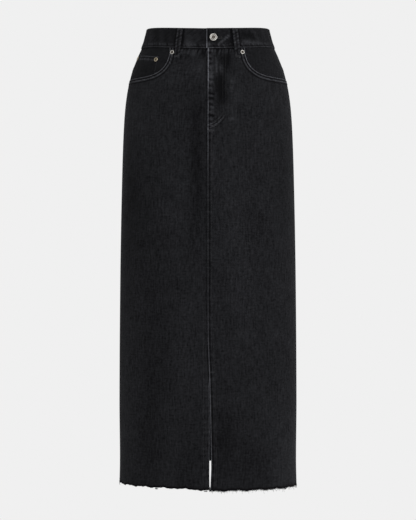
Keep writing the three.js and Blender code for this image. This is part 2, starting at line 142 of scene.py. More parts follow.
def on_cloth(angle, level, out=0.0):
    """The point this far out from the skirt's surface, in metres."""
    angle, level, out = np.broadcast_arrays(
        np.asarray(angle, float), np.asarray(level, float), np.asarray(out, float))
    half = ring("half", level)
    deep = np.where(np.cos(angle) > 0, ring("front", level), ring("back", level))
    across, away = np.sin(angle), -np.cos(angle)
    lean = np.hypot(across / half, away / deep)
    lift = out - hollows(angle, level)
    x = across * (half + lift / (half * lean))
    y = away * (deep + lift / (deep * lean))
    return np.stack([x, y, level], axis=-1) * MM


def turn_per_mm(angle, level):
    """The turn round the skirt that moves a point on the cloth by a millimetre."""
    turn = 0.01
    moved = on_cloth(angle + turn, level) - on_cloth(angle - turn, level)
    return 2 * turn * MM / np.linalg.norm(moved, axis=-1)


def angle_at(x, level):
    """The angle on the front at which the cloth is x from the form's middle."""
    return np.arcsin(np.clip(x / ring("half", level), -1, 1))


def smooth(value, low, high):
    t = np.clip((value - low) / (high - low), 0, 1)
    return t * t * (3 - 2 * t)


def peak(value, middle, wide):
    """Falls away smoothly on both sides of a middle, from 1 there."""
    return np.exp(-(((value - middle) / wide) ** 2))


def edge_level(edge, angle):
    """The level of an edge that rises from centre front to the sides and the back."""
    front, side, back = edge
    to_side = np.sin(angle) ** 2
    behind = back + (side - back) * to_side
    return front + np.where(np.cos(angle) > 0, side * to_side, behind)


BAND_TOP = (22.4, 10.6, 17.4)
BAND_FOOT = (-20.8, 12.5, 21)
HEM = (-946, -3, 24)
HEM_DROOP = 4.4
DROOP_BETWEEN, DROOP_GONE_BETWEEN = (-24, 6), (100, 170)
# The second width is how far up from the raw hem the cloth is darkened, as painted shade.
HEM_CLEAR, HEM_SHADE = 0.6, 3.4

# Where each front's centre edge lies, down to the slit and along it
FRONT_EDGE = {
    "level": (0, -560, -640, -696, -708, -800, -903, -920, -946, -960),
    "right": (11, 11, 11, 11, 2.2, 3.2, 2.9, 2.8, 3.3, 3.4),
    "left": (-1, -1, -0.2, 2.2, 2.7, 5, 6.7, 5.9, 4.9, 4.7),
}
SLIT_TOP = -708
LAP_SINK = -(DENIM + GAP)
LAP_EASE = (4, 9)

# The scoop of a pocket mouth runs from the waistband to the side seam, fuller than an ellipse
MOUTH_FROM = 79.5
MOUTH_SIDE_LEVEL = -78
MOUTH_FULL_ACROSS, MOUTH_FULL_DOWN = 3.6, 2.2
MOUTH_UPRIGHT_UNTIL = 0.3
MOUTH_TRACE = np.linspace(0, 1, 500) ** 2

# At the side seams and centre back the panels overlap by a hair, so that no light comes through
SEAM_TURN = -0.0001


def edge_x(name, level):
    levels = -np.array(FRONT_EDGE["level"])
    return np.interp(-level, levels, FRONT_EDGE[name])


def front_top(angle):
    return edge_level(BAND_FOOT, angle) - GAP


def hem_level(angle):
    """The raw cut edge wanders by a millimetre or so and hangs lower on the wearer's left."""
    wander = np.sin(angle * 23 + 1) + 0.7 * np.sin(angle * 51 + 2) + 0.5 * np.sin(angle * 97)
    turn = np.degrees(angle)
    lower = smooth(turn, *DROOP_BETWEEN) - smooth(turn, *DROOP_GONE_BETWEEN)
    return edge_level(HEM, angle) - HEM_DROOP * lower + 0.8 * wander


def mouth_level(side, share):
    """The level of a pocket mouth, by the share of the way across to the side seam."""
    start = front_top(angle_at(MOUTH_FROM + side * MIDDLE, BAND_FOOT[0]))
    fallen = (1 - (1 - share) ** MOUTH_FULL_ACROSS) ** (1 / MOUTH_FULL_DOWN)
    return start + (MOUTH_SIDE_LEVEL - start) * fallen


def below_mouth(side, share, level):
    """The angle at a level below that point of the mouth.

    The mouth starts straight down, so the cloth below it is laid out upright there, and nearer
    to the side seam it spreads out with the hips.
    """
    start_x = MOUTH_FROM + side * MIDDLE
    x = start_x + (ring("half", MOUTH_SIDE_LEVEL) - start_x) * share
    wider = ring("half", level) / ring("half", mouth_level(side, share))
    x = x * (1 + smooth(share, 0, MOUTH_UPRIGHT_UNTIL) * (wider - 1))
    return side * np.minimum(angle_at(x, level), math.pi / 2 - SEAM_TURN)


def mouth(side, share):
    """Angle and level along a pocket mouth."""
    level = mouth_level(side, share)
    return below_mouth(side, share, level), level


def evenly_along(count, angle, level, *others):
    """Picks points at equal steps along a line on the cloth."""
    points = on_cloth(angle, level)
    run = np.r_[0, np.cumsum(np.linalg.norm(np.diff(points, axis=0), axis=1))]
    steps = np.linspace(0, run[-1], count)
    return [np.interp(steps, run, values) for values in (angle, level, *others)]


FAR = 99.0


def distance_to(line, points, near):
    """Millimetres from points to a line on the cloth, worked out only where it is near."""
    nearest = np.full(near.sum(), np.inf)
    for spot in line:
        nearest = np.minimum(nearest, ((points[near] - spot) ** 2).sum(axis=1))
    distance = np.full(near.shape, FAR)
    distance[near] = np.sqrt(nearest) / MM
    return distance


def rolled(distance, radius=0.8):
    """How far a folded edge falls back within its rounding."""
    inside = np.clip(radius - distance, 0, radius)
    return np.sqrt(np.maximum(radius**2 - inside**2, 0)) - radius


def ripple(run, period, seed):
    """An uneven wave between -1 and 1, as sewn seams pucker after a wash."""
    phase = 2 * math.pi * run / period
    waves = (np.sin(phase + seed) + 0.8 * np.sin(phase * 0.61 + 2.3 * seed)
             + 0.6 * np.sin(phase * 1.47 + 4.1 * seed) + 0.4 * np.sin(phase * 0.23 + seed))
    return waves / 2.4


# Puckers across the fly, as level, depth, and how far they reach from the edge
FLY_PUCKERS = [
    (-30, 0.9, 13), (-37, -0.4, 11), (-43, 0.7, 11), (-48, -0.7, 12), (-54, 0.7, 13),
    (-61, -0.3, 10), (-68, 0.3, 9), (-73, -0.6, 15), (-80, -0.6, 15), (-87.5, 0.5, 15),
    (-92, -0.9, 16), (-100, 0.6, 13), (-106, -0.5, 11), (-117, 1.1, 17), (-121.5, -0.6, 15),
    (-127, 0.9, 17), (-134, -0.4, 13), (-140, 0.9, 15), (-145.5, -0.6, 16), (-151, 0.3, 12),
    (-157, -0.9, 15), (-163, 1.2, 17), (-170, -0.5, 14), (-175.5, 0.6, 12), (-184, -0.3, 15),
    (-190, 0.6, 12), (-195, -1.5, 16),
]
# How worn the fly's edge and the strip beside it are, going down
WEAR_COLUMNS = ("down", "edge", "inside", "strip")
FLY_WEAR = np.array([
    (20, 15, 1.5, 1.5), (45, 17, 1.5, 0.9), (60, 18, 1.5, 1.5), (88, 17.5, 1.5, 1.7),
    (97, 12.5, 1.5, 1), (108, 7.5, 1.3, 0.8), (120, 5.5, 0.9, 0.7), (134, 6, 1.1, 0.8),
    (142, 10, 1.2, 0.7), (150, 12, 1.2, 0.7), (158, 7, 0.9, 0.7), (172, 6.5, 0.9, 0.7),
    (186, 7, 0.8, 1), (192, 12, 0.6, 1.3), (202, 9, 0.6, 0), (230, 8, 1.1, 0), (262, 5, 0.7, 0),
    (300, 4.2, 0, 0), (560, 3.4, 0, 0), (700, 4.6, 0.4, 0),
])
FLY_WIDE = 40
FLY_FOOT = -193
FLY_CORNER, FLY_SLANT = 36, 1.33
SEAM_ROWS = (1.8, 8.0)
SLIT_FACING_TOP = -556
SLIT_ROWS = {RIGHT: (4.2, 9.6), LEFT: (1.8, 11.2)}


def fly_line(inset):
    """The J of stitches round the fly, from the waistband down and in to the centre edge."""
    turn = np.radians(np.linspace(0, 90, 30))
    reach, drop = FLY_WIDE - inset, FLY_CORNER - inset
    x = np.r_[[reach - 1] * 12, reach * np.cos(turn) ** FLY_SLANT - 1]
    foot = FLY_FOOT + inset
    down = np.linspace(-21, foot + drop, 12)
    level = np.r_[down, foot + drop - drop * np.sin(turn) ** FLY_SLANT]
    return angle_at(x, level), level


# Broad patches, paler or darker: angle, level, spread round and down, and amount. They are
# partly wash and partly painted light and shade: painted highlights along the side rims and
# near the hem at the sides, and painted shade in the hollow beside the fly.
WASH_AND_SHADE_PATCHES = [
    (-62, -360, 16, 130, -0.42), (-52, -170, 26, 90, 0.26), (-20, -350, 9, 110, 0.26),
    (-7, -180, 6, 100, -0.26), (3.5, -235, 3, 60, 0.36), (8.4, -104, 3.4, 32, -0.66),
    (14.5, -46, 3.4, 22, -0.7), (6.1, -60, 0.9, 15, 2.2), (9.5, -65, 1.2, 9, 1.6),
    (12.6, -127, 3.2, 13, -0.6), (16.5, -92, 1.3, 3, 1.3), (16.5, -105, 1.3, 3, 1),
    (16.4, -150, 1.1, 8, 0.9), (15.6, -171, 2, 3, 1.6), (-3.6, -32, 2.4, 13, -1),
    (-24.7, -35, 1.8, 4, 1.1), (-19.5, -29, 2.8, 3, 1.3), (-12, -34, 2, 5, 1),
    (-21.8, -38, 1.2, 4, -1.1), (-15.5, -37, 1.8, 4, -0.9), (17, -420, 7, 190, 0.24),
    (22, -150, 4, 30, -0.24), (32, -560, 11, 120, 0.34), (35, -760, 9, 90, 0.32),
    (58, -300, 9, 160, -0.2), (-14, -660, 9, 130, 0.26), (-52, -690, 16, 170, 0.08),
    (-26, -660, 7, 110, -0.06), (10, -850, 9, 90, -0.42), (30, -900, 12, 70, -0.25),
    (80, -560, 7, 330, 0.3), (84, -900, 9, 60, 0.5), (-84, -900, 9, 60, 0.55),
    (-84, -850, 14, 80, 0.25), (-88, -190, 13, 125, 1.4), (-88, -430, 12, 150, 1.2),
    (86, -130, 10, 60, 0.6), (78, -870, 16, 90, 0.65), (-70, -770, 13, 90, 0.22),
    (12, -40, 5, 16, -0.4), (-17, -925, 9, 60, -0.42), (-24, -75, 12, 30, 0.3),
    (-6, -62, 6, 26, 0.42), (140, -190, 26, 90, 0.32), (-142, -200, 26, 90, 0.3),
    (120, -520, 20, 200, -0.16), (-112, -480, 20, 220, -0.18), (165, -560, 12, 200, 0.14),
    (-160, -700, 14, 160, -0.12),
]


# The cloth is darkened in hollows as painted shade, and lightened on swells as painted highlight.
HOLLOW_SHADE = 0.16


def wash_and_shading(angle, level):
    """Patches of wash and painted light; painted highlight on swells, painted shade in hollows."""
    return spots(WASH_AND_SHADE_PATCHES, angle, level) - HOLLOW_SHADE * hollows(angle, level)


def shell(name, angle, level, outer, inner, wear_and_shade, material, grain=(0, 0)):
    """A closed cloth wall on a grid, rows running down and columns towards the wearer's left.

    outer and inner are offsets from the form, and the array after them is how far the dye is
    worn there, together with painted light and shade.
    """
    rows, columns = np.broadcast(angle, level).shape
    outside = on_cloth(angle, level, outer)
    inside = on_cloth(angle, level, inner)
    front = np.arange(rows * columns).reshape(rows, columns)
    back = front + rows * columns

    def quads(a, b, c, d):
        return np.stack([a, b, c, d], axis=-1).reshape(-1, 4)

    faces = np.concatenate([
        quads(front[:-1, :-1], front[1:, :-1], front[1:, 1:], front[:-1, 1:]),
        quads(back[:-1, :-1], back[:-1, 1:], back[1:, 1:], back[1:, :-1]),
        quads(back[0, :-1], front[0, :-1], front[0, 1:], back[0, 1:]),
        quads(front[-1, :-1], back[-1, :-1], back[-1, 1:], front[-1, 1:]),
        quads(back[:-1, 0], back[1:, 0], front[1:, 0], front[:-1, 0]),
        quads(front[:-1, -1], front[1:, -1], back[1:, -1], back[:-1, -1]),
    ])
    mesh = bpy.data.meshes.new(name)
    corners = np.concatenate([outside.reshape(-1, 3), inside.reshape(-1, 3)])
    mesh.from_pydata(corners.tolist(), [], faces.tolist())
    steps = np.linalg.norm(np.diff(outside[..., :2], axis=1), axis=2)
    across = np.concatenate([np.zeros((rows, 1)), np.cumsum(steps, axis=1)], axis=1)
    cloth = np.stack([across + grain[0] * MM, outside[..., 2] + grain[1] * MM], axis=-1)
    cloth = np.concatenate([cloth.reshape(-1, 2)] * 2)
    wear_and_shade = np.broadcast_to(wear_and_shade, (rows, columns)).reshape(-1)
    lay_pattern(mesh, cloth, np.concatenate([wear_and_shade, wear_and_shade * 0]))
    return smooth_piece(name, mesh, material)


def lay_pattern(mesh, cloth, wear_and_shade):
    """Gives a mesh its grain line as a UV map in metres, and its wear and painted shading."""
    corner = np.empty(len(mesh.loops), dtype=np.int32)
    mesh.loops.foreach_get("vertex_index", corner)
    mesh.uv_layers.new(name="cloth").data.foreach_set("uv", cloth[corner].ravel())
    mesh.attributes.new("wear_and_shade", "FLOAT", "POINT").data.foreach_set("value", wear_and_shade.astype(float))


SHARP_FROM = 55


def in_scene(name, data):
    """Puts a mesh, light or camera into the scene as an object."""
    thing = bpy.data.objects.new(name, data)
    bpy.context.scene.collection.objects.link(thing)
    return thing


def smooth_piece(name, mesh, material):
    mesh.polygons.foreach_set("use_smooth", [True] * len(mesh.polygons))
    mesh.set_sharp_from_angle(angle=math.radians(SHARP_FROM))
    mesh.materials.append(material)
    return in_scene(name, mesh)


def add_node(tree, kind, inputs, **settings):
    """Adds a node, sets its properties, and feeds its sockets with values or other sockets."""
    node = tree.nodes.new(kind)
    for name, value in settings.items():
        setattr(node, name, value)
    for socket, value in inputs.items():
        if isinstance(value, bpy.types.NodeSocket):
            tree.links.new(value, node.inputs[socket])
        else:
            node.inputs[socket].default_value = value
    return node


def first(tree, kind, inputs, **settings):
    """The first output of a new node."""
    return add_node(tree, kind, inputs, **settings).outputs[0]


def calc(tree, operation, *values, clamp=False):
    inputs = dict(enumerate(values))
    return first(tree, "ShaderNodeMath", inputs, operation=operation, use_clamp=clamp)


def dyed(tree, share, dark, light):
    """A colour from one to another by a share. Mix numbers its colour sockets 6, 7 and 2."""
    inputs = {0: share, 6: (*dark, 1), 7: (*light, 1)}
    return add_node(tree, "ShaderNodeMix", inputs, data_type="RGBA", clamp_factor=False).outputs[2]


def yarns(tree, cloth, across, along, detail=2.0):
    """Noise in the cloth's own directions, with so many yarns a metre across and along."""
    stretched = first(tree, "ShaderNodeMapping", {"Vector": cloth, "Scale": (across, along, 1)})
    inputs = {"Vector": stretched, "Scale": 1.0, "Detail": detail}
    noise = first(tree, "ShaderNodeTexNoise", inputs, noise_dimensions="2D")
    return calc(tree, "SUBTRACT", noise, 0.5)


def new_material(name, **plain_values):
    """A material with its shader's unchanging values set, by the names of their sockets."""
    material = bpy.data.materials.new(name)
    material.use_nodes = True
    shader = material.node_tree.nodes["Principled BSDF"]
    for socket, value in plain_values.items():
        shader.inputs[socket.replace("_", " ")].default_value = value
    return material, material.node_tree, shader


def attribute(tree, name):
    return add_node(tree, "ShaderNodeAttribute", {}, attribute_name=name).outputs["Fac"]


def uneven_noise(tree, scale, detail):
    """Noise between 0 and 1 in the object's own space, by its cells a metre."""
    place = add_node(tree, "ShaderNodeTexCoord", {}).outputs["Object"]
    inputs = {"Vector": place, "Scale": scale, "Detail": detail}
    return first(tree, "ShaderNodeTexNoise", inputs)


def add_bump(tree, shader, height, strength, depth):
    inputs = {"Strength": strength, "Distance": depth * MM, "Height": height}
    tree.links.new(first(tree, "ShaderNodeBump", inputs), shader.inputs["Normal"])


def denim(name, wash_level, streaks=1.0):
    """Black twill: dyed warp yarns over paler weft, streaked along the warp and mottled."""
    material, tree, shader = new_material(
        name, Roughness=0.92, Specular_IOR_Level=0.07,
        Sheen_Weight=0.02, Sheen_Roughness=0.45, Sheen_Tint=(0.85, 0.87, 0.92, 1))
    cloth = first(tree, "ShaderNodeUVMap", {}, uv_map="cloth")
    wear_and_shade = attribute(tree, "wear_and_shade")

    warp = yarns(tree, cloth, 560, 36)
    slubs = yarns(tree, cloth, 230, 52, 1.0)
    weft = yarns(tree, cloth, 70, 400)
    grain = yarns(tree, cloth, 240, 200, 4.0)
    blotches = calc(tree, "SUBTRACT", uneven_noise(tree, 28.0, 5.0), 0.5)
    uneven = calc(tree, "MULTIPLY", warp, 1.3 * streaks)
    for yarn, amount in ((slubs, 1.1), (weft, 1.1), (grain, 1.7)):
        uneven = calc(tree, "MULTIPLY_ADD", yarn, amount * streaks, uneven)
    uneven = calc(tree, "MULTIPLY_ADD", blotches, 0.9, uneven)

    split = add_node(tree, "ShaderNodeSeparateXYZ", {"Vector": cloth})
    wale = calc(tree, "MULTIPLY_ADD", split.outputs[1], 0.6, split.outputs[0])
    twill = calc(tree, "SINE", calc(tree, "MULTIPLY", wale, 2 * math.pi / (0.85 * MM)))
    uneven = calc(tree, "MULTIPLY_ADD", twill, 0.10, uneven)

    # The attribute lightens or darkens the cloth, both for wear and for painted light and shade.
    toned = calc(tree, "MULTIPLY_ADD", uneven, 0.6, 1.0)
    toned = calc(tree, "MULTIPLY", wear_and_shade, toned)
    level = calc(tree, "MULTIPLY_ADD", uneven, wash_level, wash_level)
    level = calc(tree, "MULTIPLY_ADD", toned, wash_level, level)
    level = calc(tree, "MINIMUM", calc(tree, "MAXIMUM", level, 0.02), 4.0)
    colour = dyed(tree, level, (0.0030, 0.0030, 0.0036), (0.070, 0.0715, 0.080))
    tree.links.new(colour, shader.inputs["Base Color"])

    relief = calc(tree, "MULTIPLY_ADD", twill, 0.5, calc(tree, "ADD", warp, grain))
    add_bump(tree, shader, relief, 0.55, 0.25)
    return material


washed_denim = denim("washed_denim", 0.163)

EDGE_STEPS = (0, 0.25, 0.6, 1.2, 2.0, 3.2, 4.8, 6.6, 8.4, 10.2, 12, 14, 16.5, 19, 22)
TOP_STEPS = (0, 0.25, 0.6, 1.2, 2.0, 3.2, 4.8, 6.6, 8.4, 10.4, 12.6, 15)
ROW_STEPS = ((-230, 2.6), (-540, 6.5), (-700, 5.5), (-735, 2.5), (-935, 5.5), (-1000, 2.5))
BETWEEN_COLUMNS = 30
MOUTH_COLUMNS = 58
MOUTH_ROWS = (1.9, 7.4)
MOUTH_NEAR = -120
SIDE_RADIUS, UNDER_BAND_RADIUS = 118, 160


def front_rows():
    """Levels below the first rows at centre front, closer where the sewing is."""
    levels = [front_top(0.0) - TOP_STEPS[-1]]
    for end, step in ROW_STEPS:
        while levels[-1] > end and levels[-1] > hem_level(0.0):
            levels.append(levels[-1] - step)
    return np.array(levels[:-1])


def front_grid(side, name):
    """Angle and level of each grid point of a front, with columns from its centre edge out."""
    rows = front_rows()
    down = (rows - rows[0]) / (hem_level(0.0) - rows[0])
    down = np.r_[np.zeros(len(TOP_STEPS) - 1), down, 1.0][:, None]
    steps = np.r_[np.array(TOP_STEPS), np.full(len(rows), TOP_STEPS[-1])][:, None]
    nominal = np.r_[front_top(0.0) - np.array(TOP_STEPS[:-1]), rows, hem_level(0.0)]

    def levels(top, foot_angle):
        foot = hem_level(foot_angle) + HEM_CLEAR
        return top - steps + down * (foot - top + TOP_STEPS[-1])

    beside = [angle_at(edge_x(name, nominal) + side * step, nominal) for step in EDGE_STEPS]
    mouth_start = below_mouth(side, 0.0, nominal)
    between = np.linspace(0, 1, BETWEEN_COLUMNS + 2)[1:-1]
    spread = [beside[-1] * (1 - s) + mouth_start * s for s in between]
    middle_angle = np.stack(beside + spread, axis=1)
    middle_level = levels(front_top(middle_angle[0]), middle_angle[-1])

    shares = evenly_along(MOUTH_COLUMNS, *mouth(side, MOUTH_TRACE), MOUTH_TRACE)[2]
    outer_level = levels(mouth_level(side, shares), below_mouth(side, shares, HEM[0]))
    outer_angle = below_mouth(side, shares, outer_level)
    angle = np.concatenate([middle_angle, outer_angle], axis=1)
    level = np.concatenate([middle_level, outer_level], axis=1)
    if side == RIGHT:
        angle, level = angle[:, ::-1], level[:, ::-1]
    return angle, level


def mouth_seam(side, from_mouth, level, run):
    """Offset and wear along a pocket mouth, by a ridge over its turning and two rows.

    The valleys between the rows and below the ridge are darkened as painted shade.
    """
    ridge = 1 - smooth(from_mouth, 8.2, 10.5)
    pucker = ripple(run, 9.0, 1.7 + side)
    out = rolled(from_mouth) + ridge * (0.30 + 0.20 * pucker)
    rubbed = 1 + 0.7 * peak(level, -45, 22)
    wear_and_shade = ridge * (0.10 + 0.55 * pucker)
    wear_and_shade += (7.0 + 2.6 * pucker) * rubbed * peak(from_mouth, 0, 1.3)
    wear_and_shade += (4.6 + 2.4 * pucker) * peak(from_mouth, MOUTH_ROWS[1] - 0.4, 1.1)
    # Painted shade in the valleys between the rows and below the ridge.
    for dark_at, dark in ((3.8, 1.6), (10.2, 1.5)):
        wear_and_shade -= dark * peak(from_mouth, dark_at, 1.5)
    return out, wear_and_shade


def band_seam(angle, under_band, from_mouth):
    """Offset and wear where a front is gathered a little into the waistband, and a painted shadow
    just under the band.
    """
    seam = np.where(from_mouth > 6, peak(under_band, 6, 6.5), 0)
    ruck = ripple(angle * UNDER_BAND_RADIUS + 0.3 * under_band, 8.5, 0.6)
    # The last term is a painted shadow just under the band.
    return seam * 0.35 * ruck, seam * (0.3 + 1.9 * ruck) - 2.2 * peak(under_band, 0, 2.2)


def slit_fold(side, from_slit, from_edge, level, folded, sunk):
    """Offset and wear of the strip that is folded back along the slit and topstitched."""
    row = SLIT_ROWS[side][-1]
    strip = (1 - smooth(level, SLIT_FACING_TOP - 6, SLIT_FACING_TOP)) * (1 - sunk)
    strip *= 1 - smooth(from_slit, row + 0.8, row + 2.2)
    pucker = ripple(level, 11.0, 2.9 * side)
    below_top = 1 - smooth(level, SLIT_TOP, SLIT_TOP + 120)
    rub = 1.5 + 5.0 * below_top * smooth(level, HEM[0], HEM[0] + 60)
    wear_and_shade = strip * (0.12 + 0.5 * pucker + folded * rub * peak(from_edge, 0, 1.0))
    return strip * (0.35 + 0.12 * pucker), wear_and_shade


def worn_fly(column, level):
    return np.interp(-level, FLY_WEAR[:, 0], FLY_WEAR[:, WEAR_COLUMNS.index(column)])


def fly_placket(from_edge, level):
    """Offset and wear of the fly above its foot, whose edge folds into short puckers.

    Each pucker's hollow is darkened as painted shade and its crest lightened as painted highlight.
    """
    inside = np.interp(level, *fly_reach())
    placket = 1 - smooth(from_edge, inside - 2, inside + 7)
    placket *= smooth(level, FLY_FOOT, FLY_FOOT + 5)
    strip = smooth(from_edge, 1.5, 3) * (1 - smooth(from_edge, 8, 15)) * placket
    out = 0.4 * placket
    wear_and_shade = strip * worn_fly("strip", level) * (1 + 0.4 * ripple(level, 19.0, 2.8))
    for height, deep, reach in FLY_PUCKERS:
        bar = peak(level + 0.15 * from_edge, height, 2.4)
        bar *= (1 - smooth(from_edge, reach * 0.6, reach)) * smooth(from_edge, 0.2, 1.5)
        out -= 0.6 * deep * bar
        # Painted shade in each pucker's hollow and painted highlight on its crest.
        wear_and_shade -= 2.2 * deep * bar
    return out, wear_and_shade


def seam_below_fly(from_edge, level):
    allowance = (1 - smooth(level, FLY_FOOT - 10, FLY_FOOT)) * (1 - smooth(from_edge, 8.6, 10.2))
    pucker = ripple(level, 12.0, 5.2)
    return allowance * (0.3 + 0.14 * pucker), allowance * (0.15 + 0.55 * pucker)


def fly_stitch_wear_and_shade(from_edge, level, points):
    """Wear of the fly's folded edge, and of the stitched J where it turns in to the edge.

    Painted shade darkens a groove in from the edge and the grooves beside the J's rows.
    """
    rub = worn_fly("edge", level) * (0.9 + 0.3 * ripple(level, 17.0, 3.3))
    wear_and_shade = rub * peak(from_edge, worn_fly("inside", level), 0.85)
    # Painted shade in a groove 4 mm in from the edge.
    wear_and_shade -= 1.3 * peak(from_edge, 4.2, 1.4)
    at_turn = (level < -140) & (level > -200) & (from_edge < 50)
    lower = smooth(-level, 163, 172) * (1 - smooth(-level, 186, 192))
    dashes = 1 + 0.7 * ripple(points[..., 0] / MM, 5.5, 1.3)
    for inset, toned in ((2.4, 5.2), (8.4, 3.0)):
        from_turn = distance_to(on_cloth(*fly_line(inset)), points, at_turn)
        # Wear on the J's rows, and painted shade in the groove beside each.
        wear_and_shade += lower * (toned * dashes * peak(from_turn, 0, 1.3) - 1.6 * peak(from_turn, 3.0, 1.2))
    return wear_and_shade


def front_relief(side, name, angle, level):
    """Offset of a front's outer face, and its wear and painted light and shade there."""
    points = on_cloth(angle, level)
    x = points[..., 0] / MM
    from_edge = side * (x - edge_x(name, level))
    mouth_line = on_cloth(*evenly_along(260, *mouth(side, MOUTH_TRACE)))
    from_mouth = distance_to(mouth_line, points, level > MOUTH_NEAR)
    from_side = (math.pi / 2 - np.abs(angle)) * SIDE_RADIUS
    over_lap = edge_x("left", level) - x
    above_slit = smooth(level, SLIT_TOP - 26, SLIT_TOP)
    lapped = side == RIGHT
    folded = 1 - above_slit if lapped else 1.0
    sunk = (1 - smooth(over_lap, *LAP_EASE)) * above_slit if lapped else 0.0

    out = rolled(from_edge) * folded + rolled(from_side, 0.6)
    # Painted shade darkens the cloth along the raw hem.
    wear_and_shade = wash_and_shading(angle, level) - 2.6 * peak(level, hem_level(angle), HEM_SHADE)
    wear_and_shade += (0.9 + 0.3 * ripple(level, 14.0, 1.1)) * peak(from_side, 0, 1.3)
    seams = [
        mouth_seam(side, from_mouth, level, points[..., 2] / MM + 0.7 * x),
        band_seam(angle, front_top(angle) - level, from_mouth),
        slit_fold(side, -x if lapped else from_edge, from_edge, level, folded, sunk),
    ]
    if lapped:
        seams.append((LAP_SINK * sunk, -0.5 * peak(over_lap, 1.0, 1.8) * above_slit))
    else:
        seams += [fly_placket(from_edge, level), seam_below_fly(from_edge, level),
                  (0.0, fly_stitch_wear_and_shade(from_edge, level, points))]
    for raised, toned in seams:
        out = out + raised
        wear_and_shade = wear_and_shade + toned
    return out, wear_and_shade


def fly_reach():
    """For np.interp: levels going up, and the fly's width from the centre edge at each."""
    angle, level = fly_line(0)
    width = on_cloth(angle, level)[:, 0] / MM - edge_x("left", level)
    order = np.argsort(level, kind="stable")
    return level[order], width[order]


for side, name in SIDES:
    angle, level = front_grid(side, name)
    outer, wear_and_shade = front_relief(side, name, angle, level)
    x = on_cloth(angle, level)[..., 0] / MM
    beneath = np.zeros(angle.shape)
    if side == RIGHT:
        sunk = 1 - smooth(edge_x("left", level) - x, *LAP_EASE)
        beneath = LAP_SINK * sunk * smooth(level, SLIT_TOP - 26, SLIT_TOP)
    piece = shell(f"front_{name}_denim", angle, level, outer, beneath - DENIM, wear_and_shade, washed_denim,
                  grain=(120 * side, 0))
    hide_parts(f"front_{name}")
    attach(piece, "root")


# Topstitching on the fronts
# Charcoal core-spun thread half a millimetre thick, about eight stitches to 25 mm. Two rows
# follow each pocket mouth, a double J holds the fly, and more rows hold the seam and the slit.
FLY_ROWS = (1.6, 7.6)
THREAD_OUT = 0.14
GUIDE_STEP = -4.0
# Bar tacks at the fly's foot and over the slit: from and to, across from the middle, and level
TACK_LINES = ((0.5, 12, FLY_FOOT - 4), (3, 13, SLIT_TOP + 6))


def stitch_sizes(pitch, length, width, height, turn):
    """A row's stitches, by millimetres and by the degrees that each is turned across the row."""
    sizes = {"Pitch": pitch, "Length": length, "Width": width, "Height": height}
    return {name: size * MM for name, size in sizes.items()} | {"Turn": math.radians(turn)}


STITCH = stitch_sizes(3.1, 2.75, 0.62, 0.52, 0)
TACK = stitch_sizes(0.55, 2.3, 0.6, 0.6, 84)


def thread(name, colour):
    """Twisted thread: a little sheen and uneven dye, with a fine bump from the same noise."""
    material, tree, shader = new_material(name, Roughness=0.7, Specular_IOR_Level=0.35)
    uneven = uneven_noise(tree, 420.0, 2.0)
    dark, light = [tuple(share * c for c in colour) for share in (0.5, 1.5)]
    tree.links.new(dyed(tree, uneven, dark, light), shader.inputs["Base Color"])
    add_bump(tree, shader, uneven, 0.4, 0.1)
    return material


def tree_along_line(name, sizes, made_of, made):
    """Starts a node tree: its named inputs, and points spaced along the line it is given."""
    tree = bpy.data.node_groups.new(name, "GeometryNodeTree")
    sockets = [("Line", "INPUT", "Geometry"), *((size, "INPUT", "Float") for size in sizes),
               (made_of, "INPUT", "Material"), (made, "OUTPUT", "Geometry")]
    for label, way, kind in sockets:
        tree.interface.new_socket(label, in_out=way, socket_type=f"NodeSocket{kind}")
    given = tree.nodes.new("NodeGroupInput").outputs
    curve = first(tree, "GeometryNodeMeshToCurve", {"Mesh": given["Line"]})
    inputs = {"Curve": curve, "Length": given["Pitch"]}
    return tree, given, first(tree, "GeometryNodeResampleCurve", inputs, mode="LENGTH")


def turned_on_line(tree, **turns):
    """A rotation that lies along the line and faces outward, turned further by some angles."""
    outward = first(
        tree, "GeometryNodeInputNamedAttribute", {"Name": "outward"}, data_type="FLOAT_VECTOR")
    along = first(tree, "GeometryNodeInputTangent", {})
    align = "FunctionNodeAlignRotationToVector"
    facing = first(tree, align, {"Vector": outward}, axis="Z")
    lying = first(tree, align, {"Rotation": facing, "Vector": along}, axis="X", pivot_axis="Z")
    euler = first(tree, "ShaderNodeCombineXYZ", turns)
    by = first(tree, "FunctionNodeEulerToRotation", {"Euler": euler})
    inputs = {"Rotation": lying, "Rotate By": by}
    return first(tree, "FunctionNodeRotateRotation", inputs, rotation_space="LOCAL")


def placed_on(tree, points, thing, turn, size):
    """Copies of a thing on points, made real."""
    inputs = {"Points": points, "Instance": thing, "Rotation": turn, "Scale": size}
    copies = first(tree, "GeometryNodeInstanceOnPoints", inputs)
    return first(tree, "GeometryNodeRealizeInstances", {"Geometry": copies})


def end_tree(tree, geometry, material):
    coloured = first(tree, "GeometryNodeSetMaterial", {"Geometry": geometry, "Material": material})
    tree.links.new(coloured, tree.nodes.new("NodeGroupOutput").inputs[0])
    return tree


def random_number(tree, low, high, seed):
    inputs = {2: low, 3: high, "Seed": seed}
    return add_node(tree, "FunctionNodeRandomValue", inputs, data_type="FLOAT").outputs[1]


def stitch_tree():
    """A row of stitches along a line, each a small bead of thread that lies along or across it."""
    tree, given, points = tree_along_line("row_of_stitches", STITCH, "Thread", "Stitches")
    turn = turned_on_line(
        tree, Z=calc(tree, "ADD", given["Turn"], random_number(tree, -0.07, 0.07, 5)))
    bead = first(tree, "GeometryNodeMeshUVSphere", {"Segments": 6, "Rings": 4, "Radius": 0.5})
    size = first(tree, "ShaderNodeCombineXYZ",
                 {"X": given["Length"], "Y": given["Width"], "Z": given["Height"]})
    row = placed_on(tree, points, bead, turn, size)
    rounded = first(tree, "GeometryNodeSetShadeSmooth", {0: row})
    return end_tree(tree, rounded, given["Thread"])


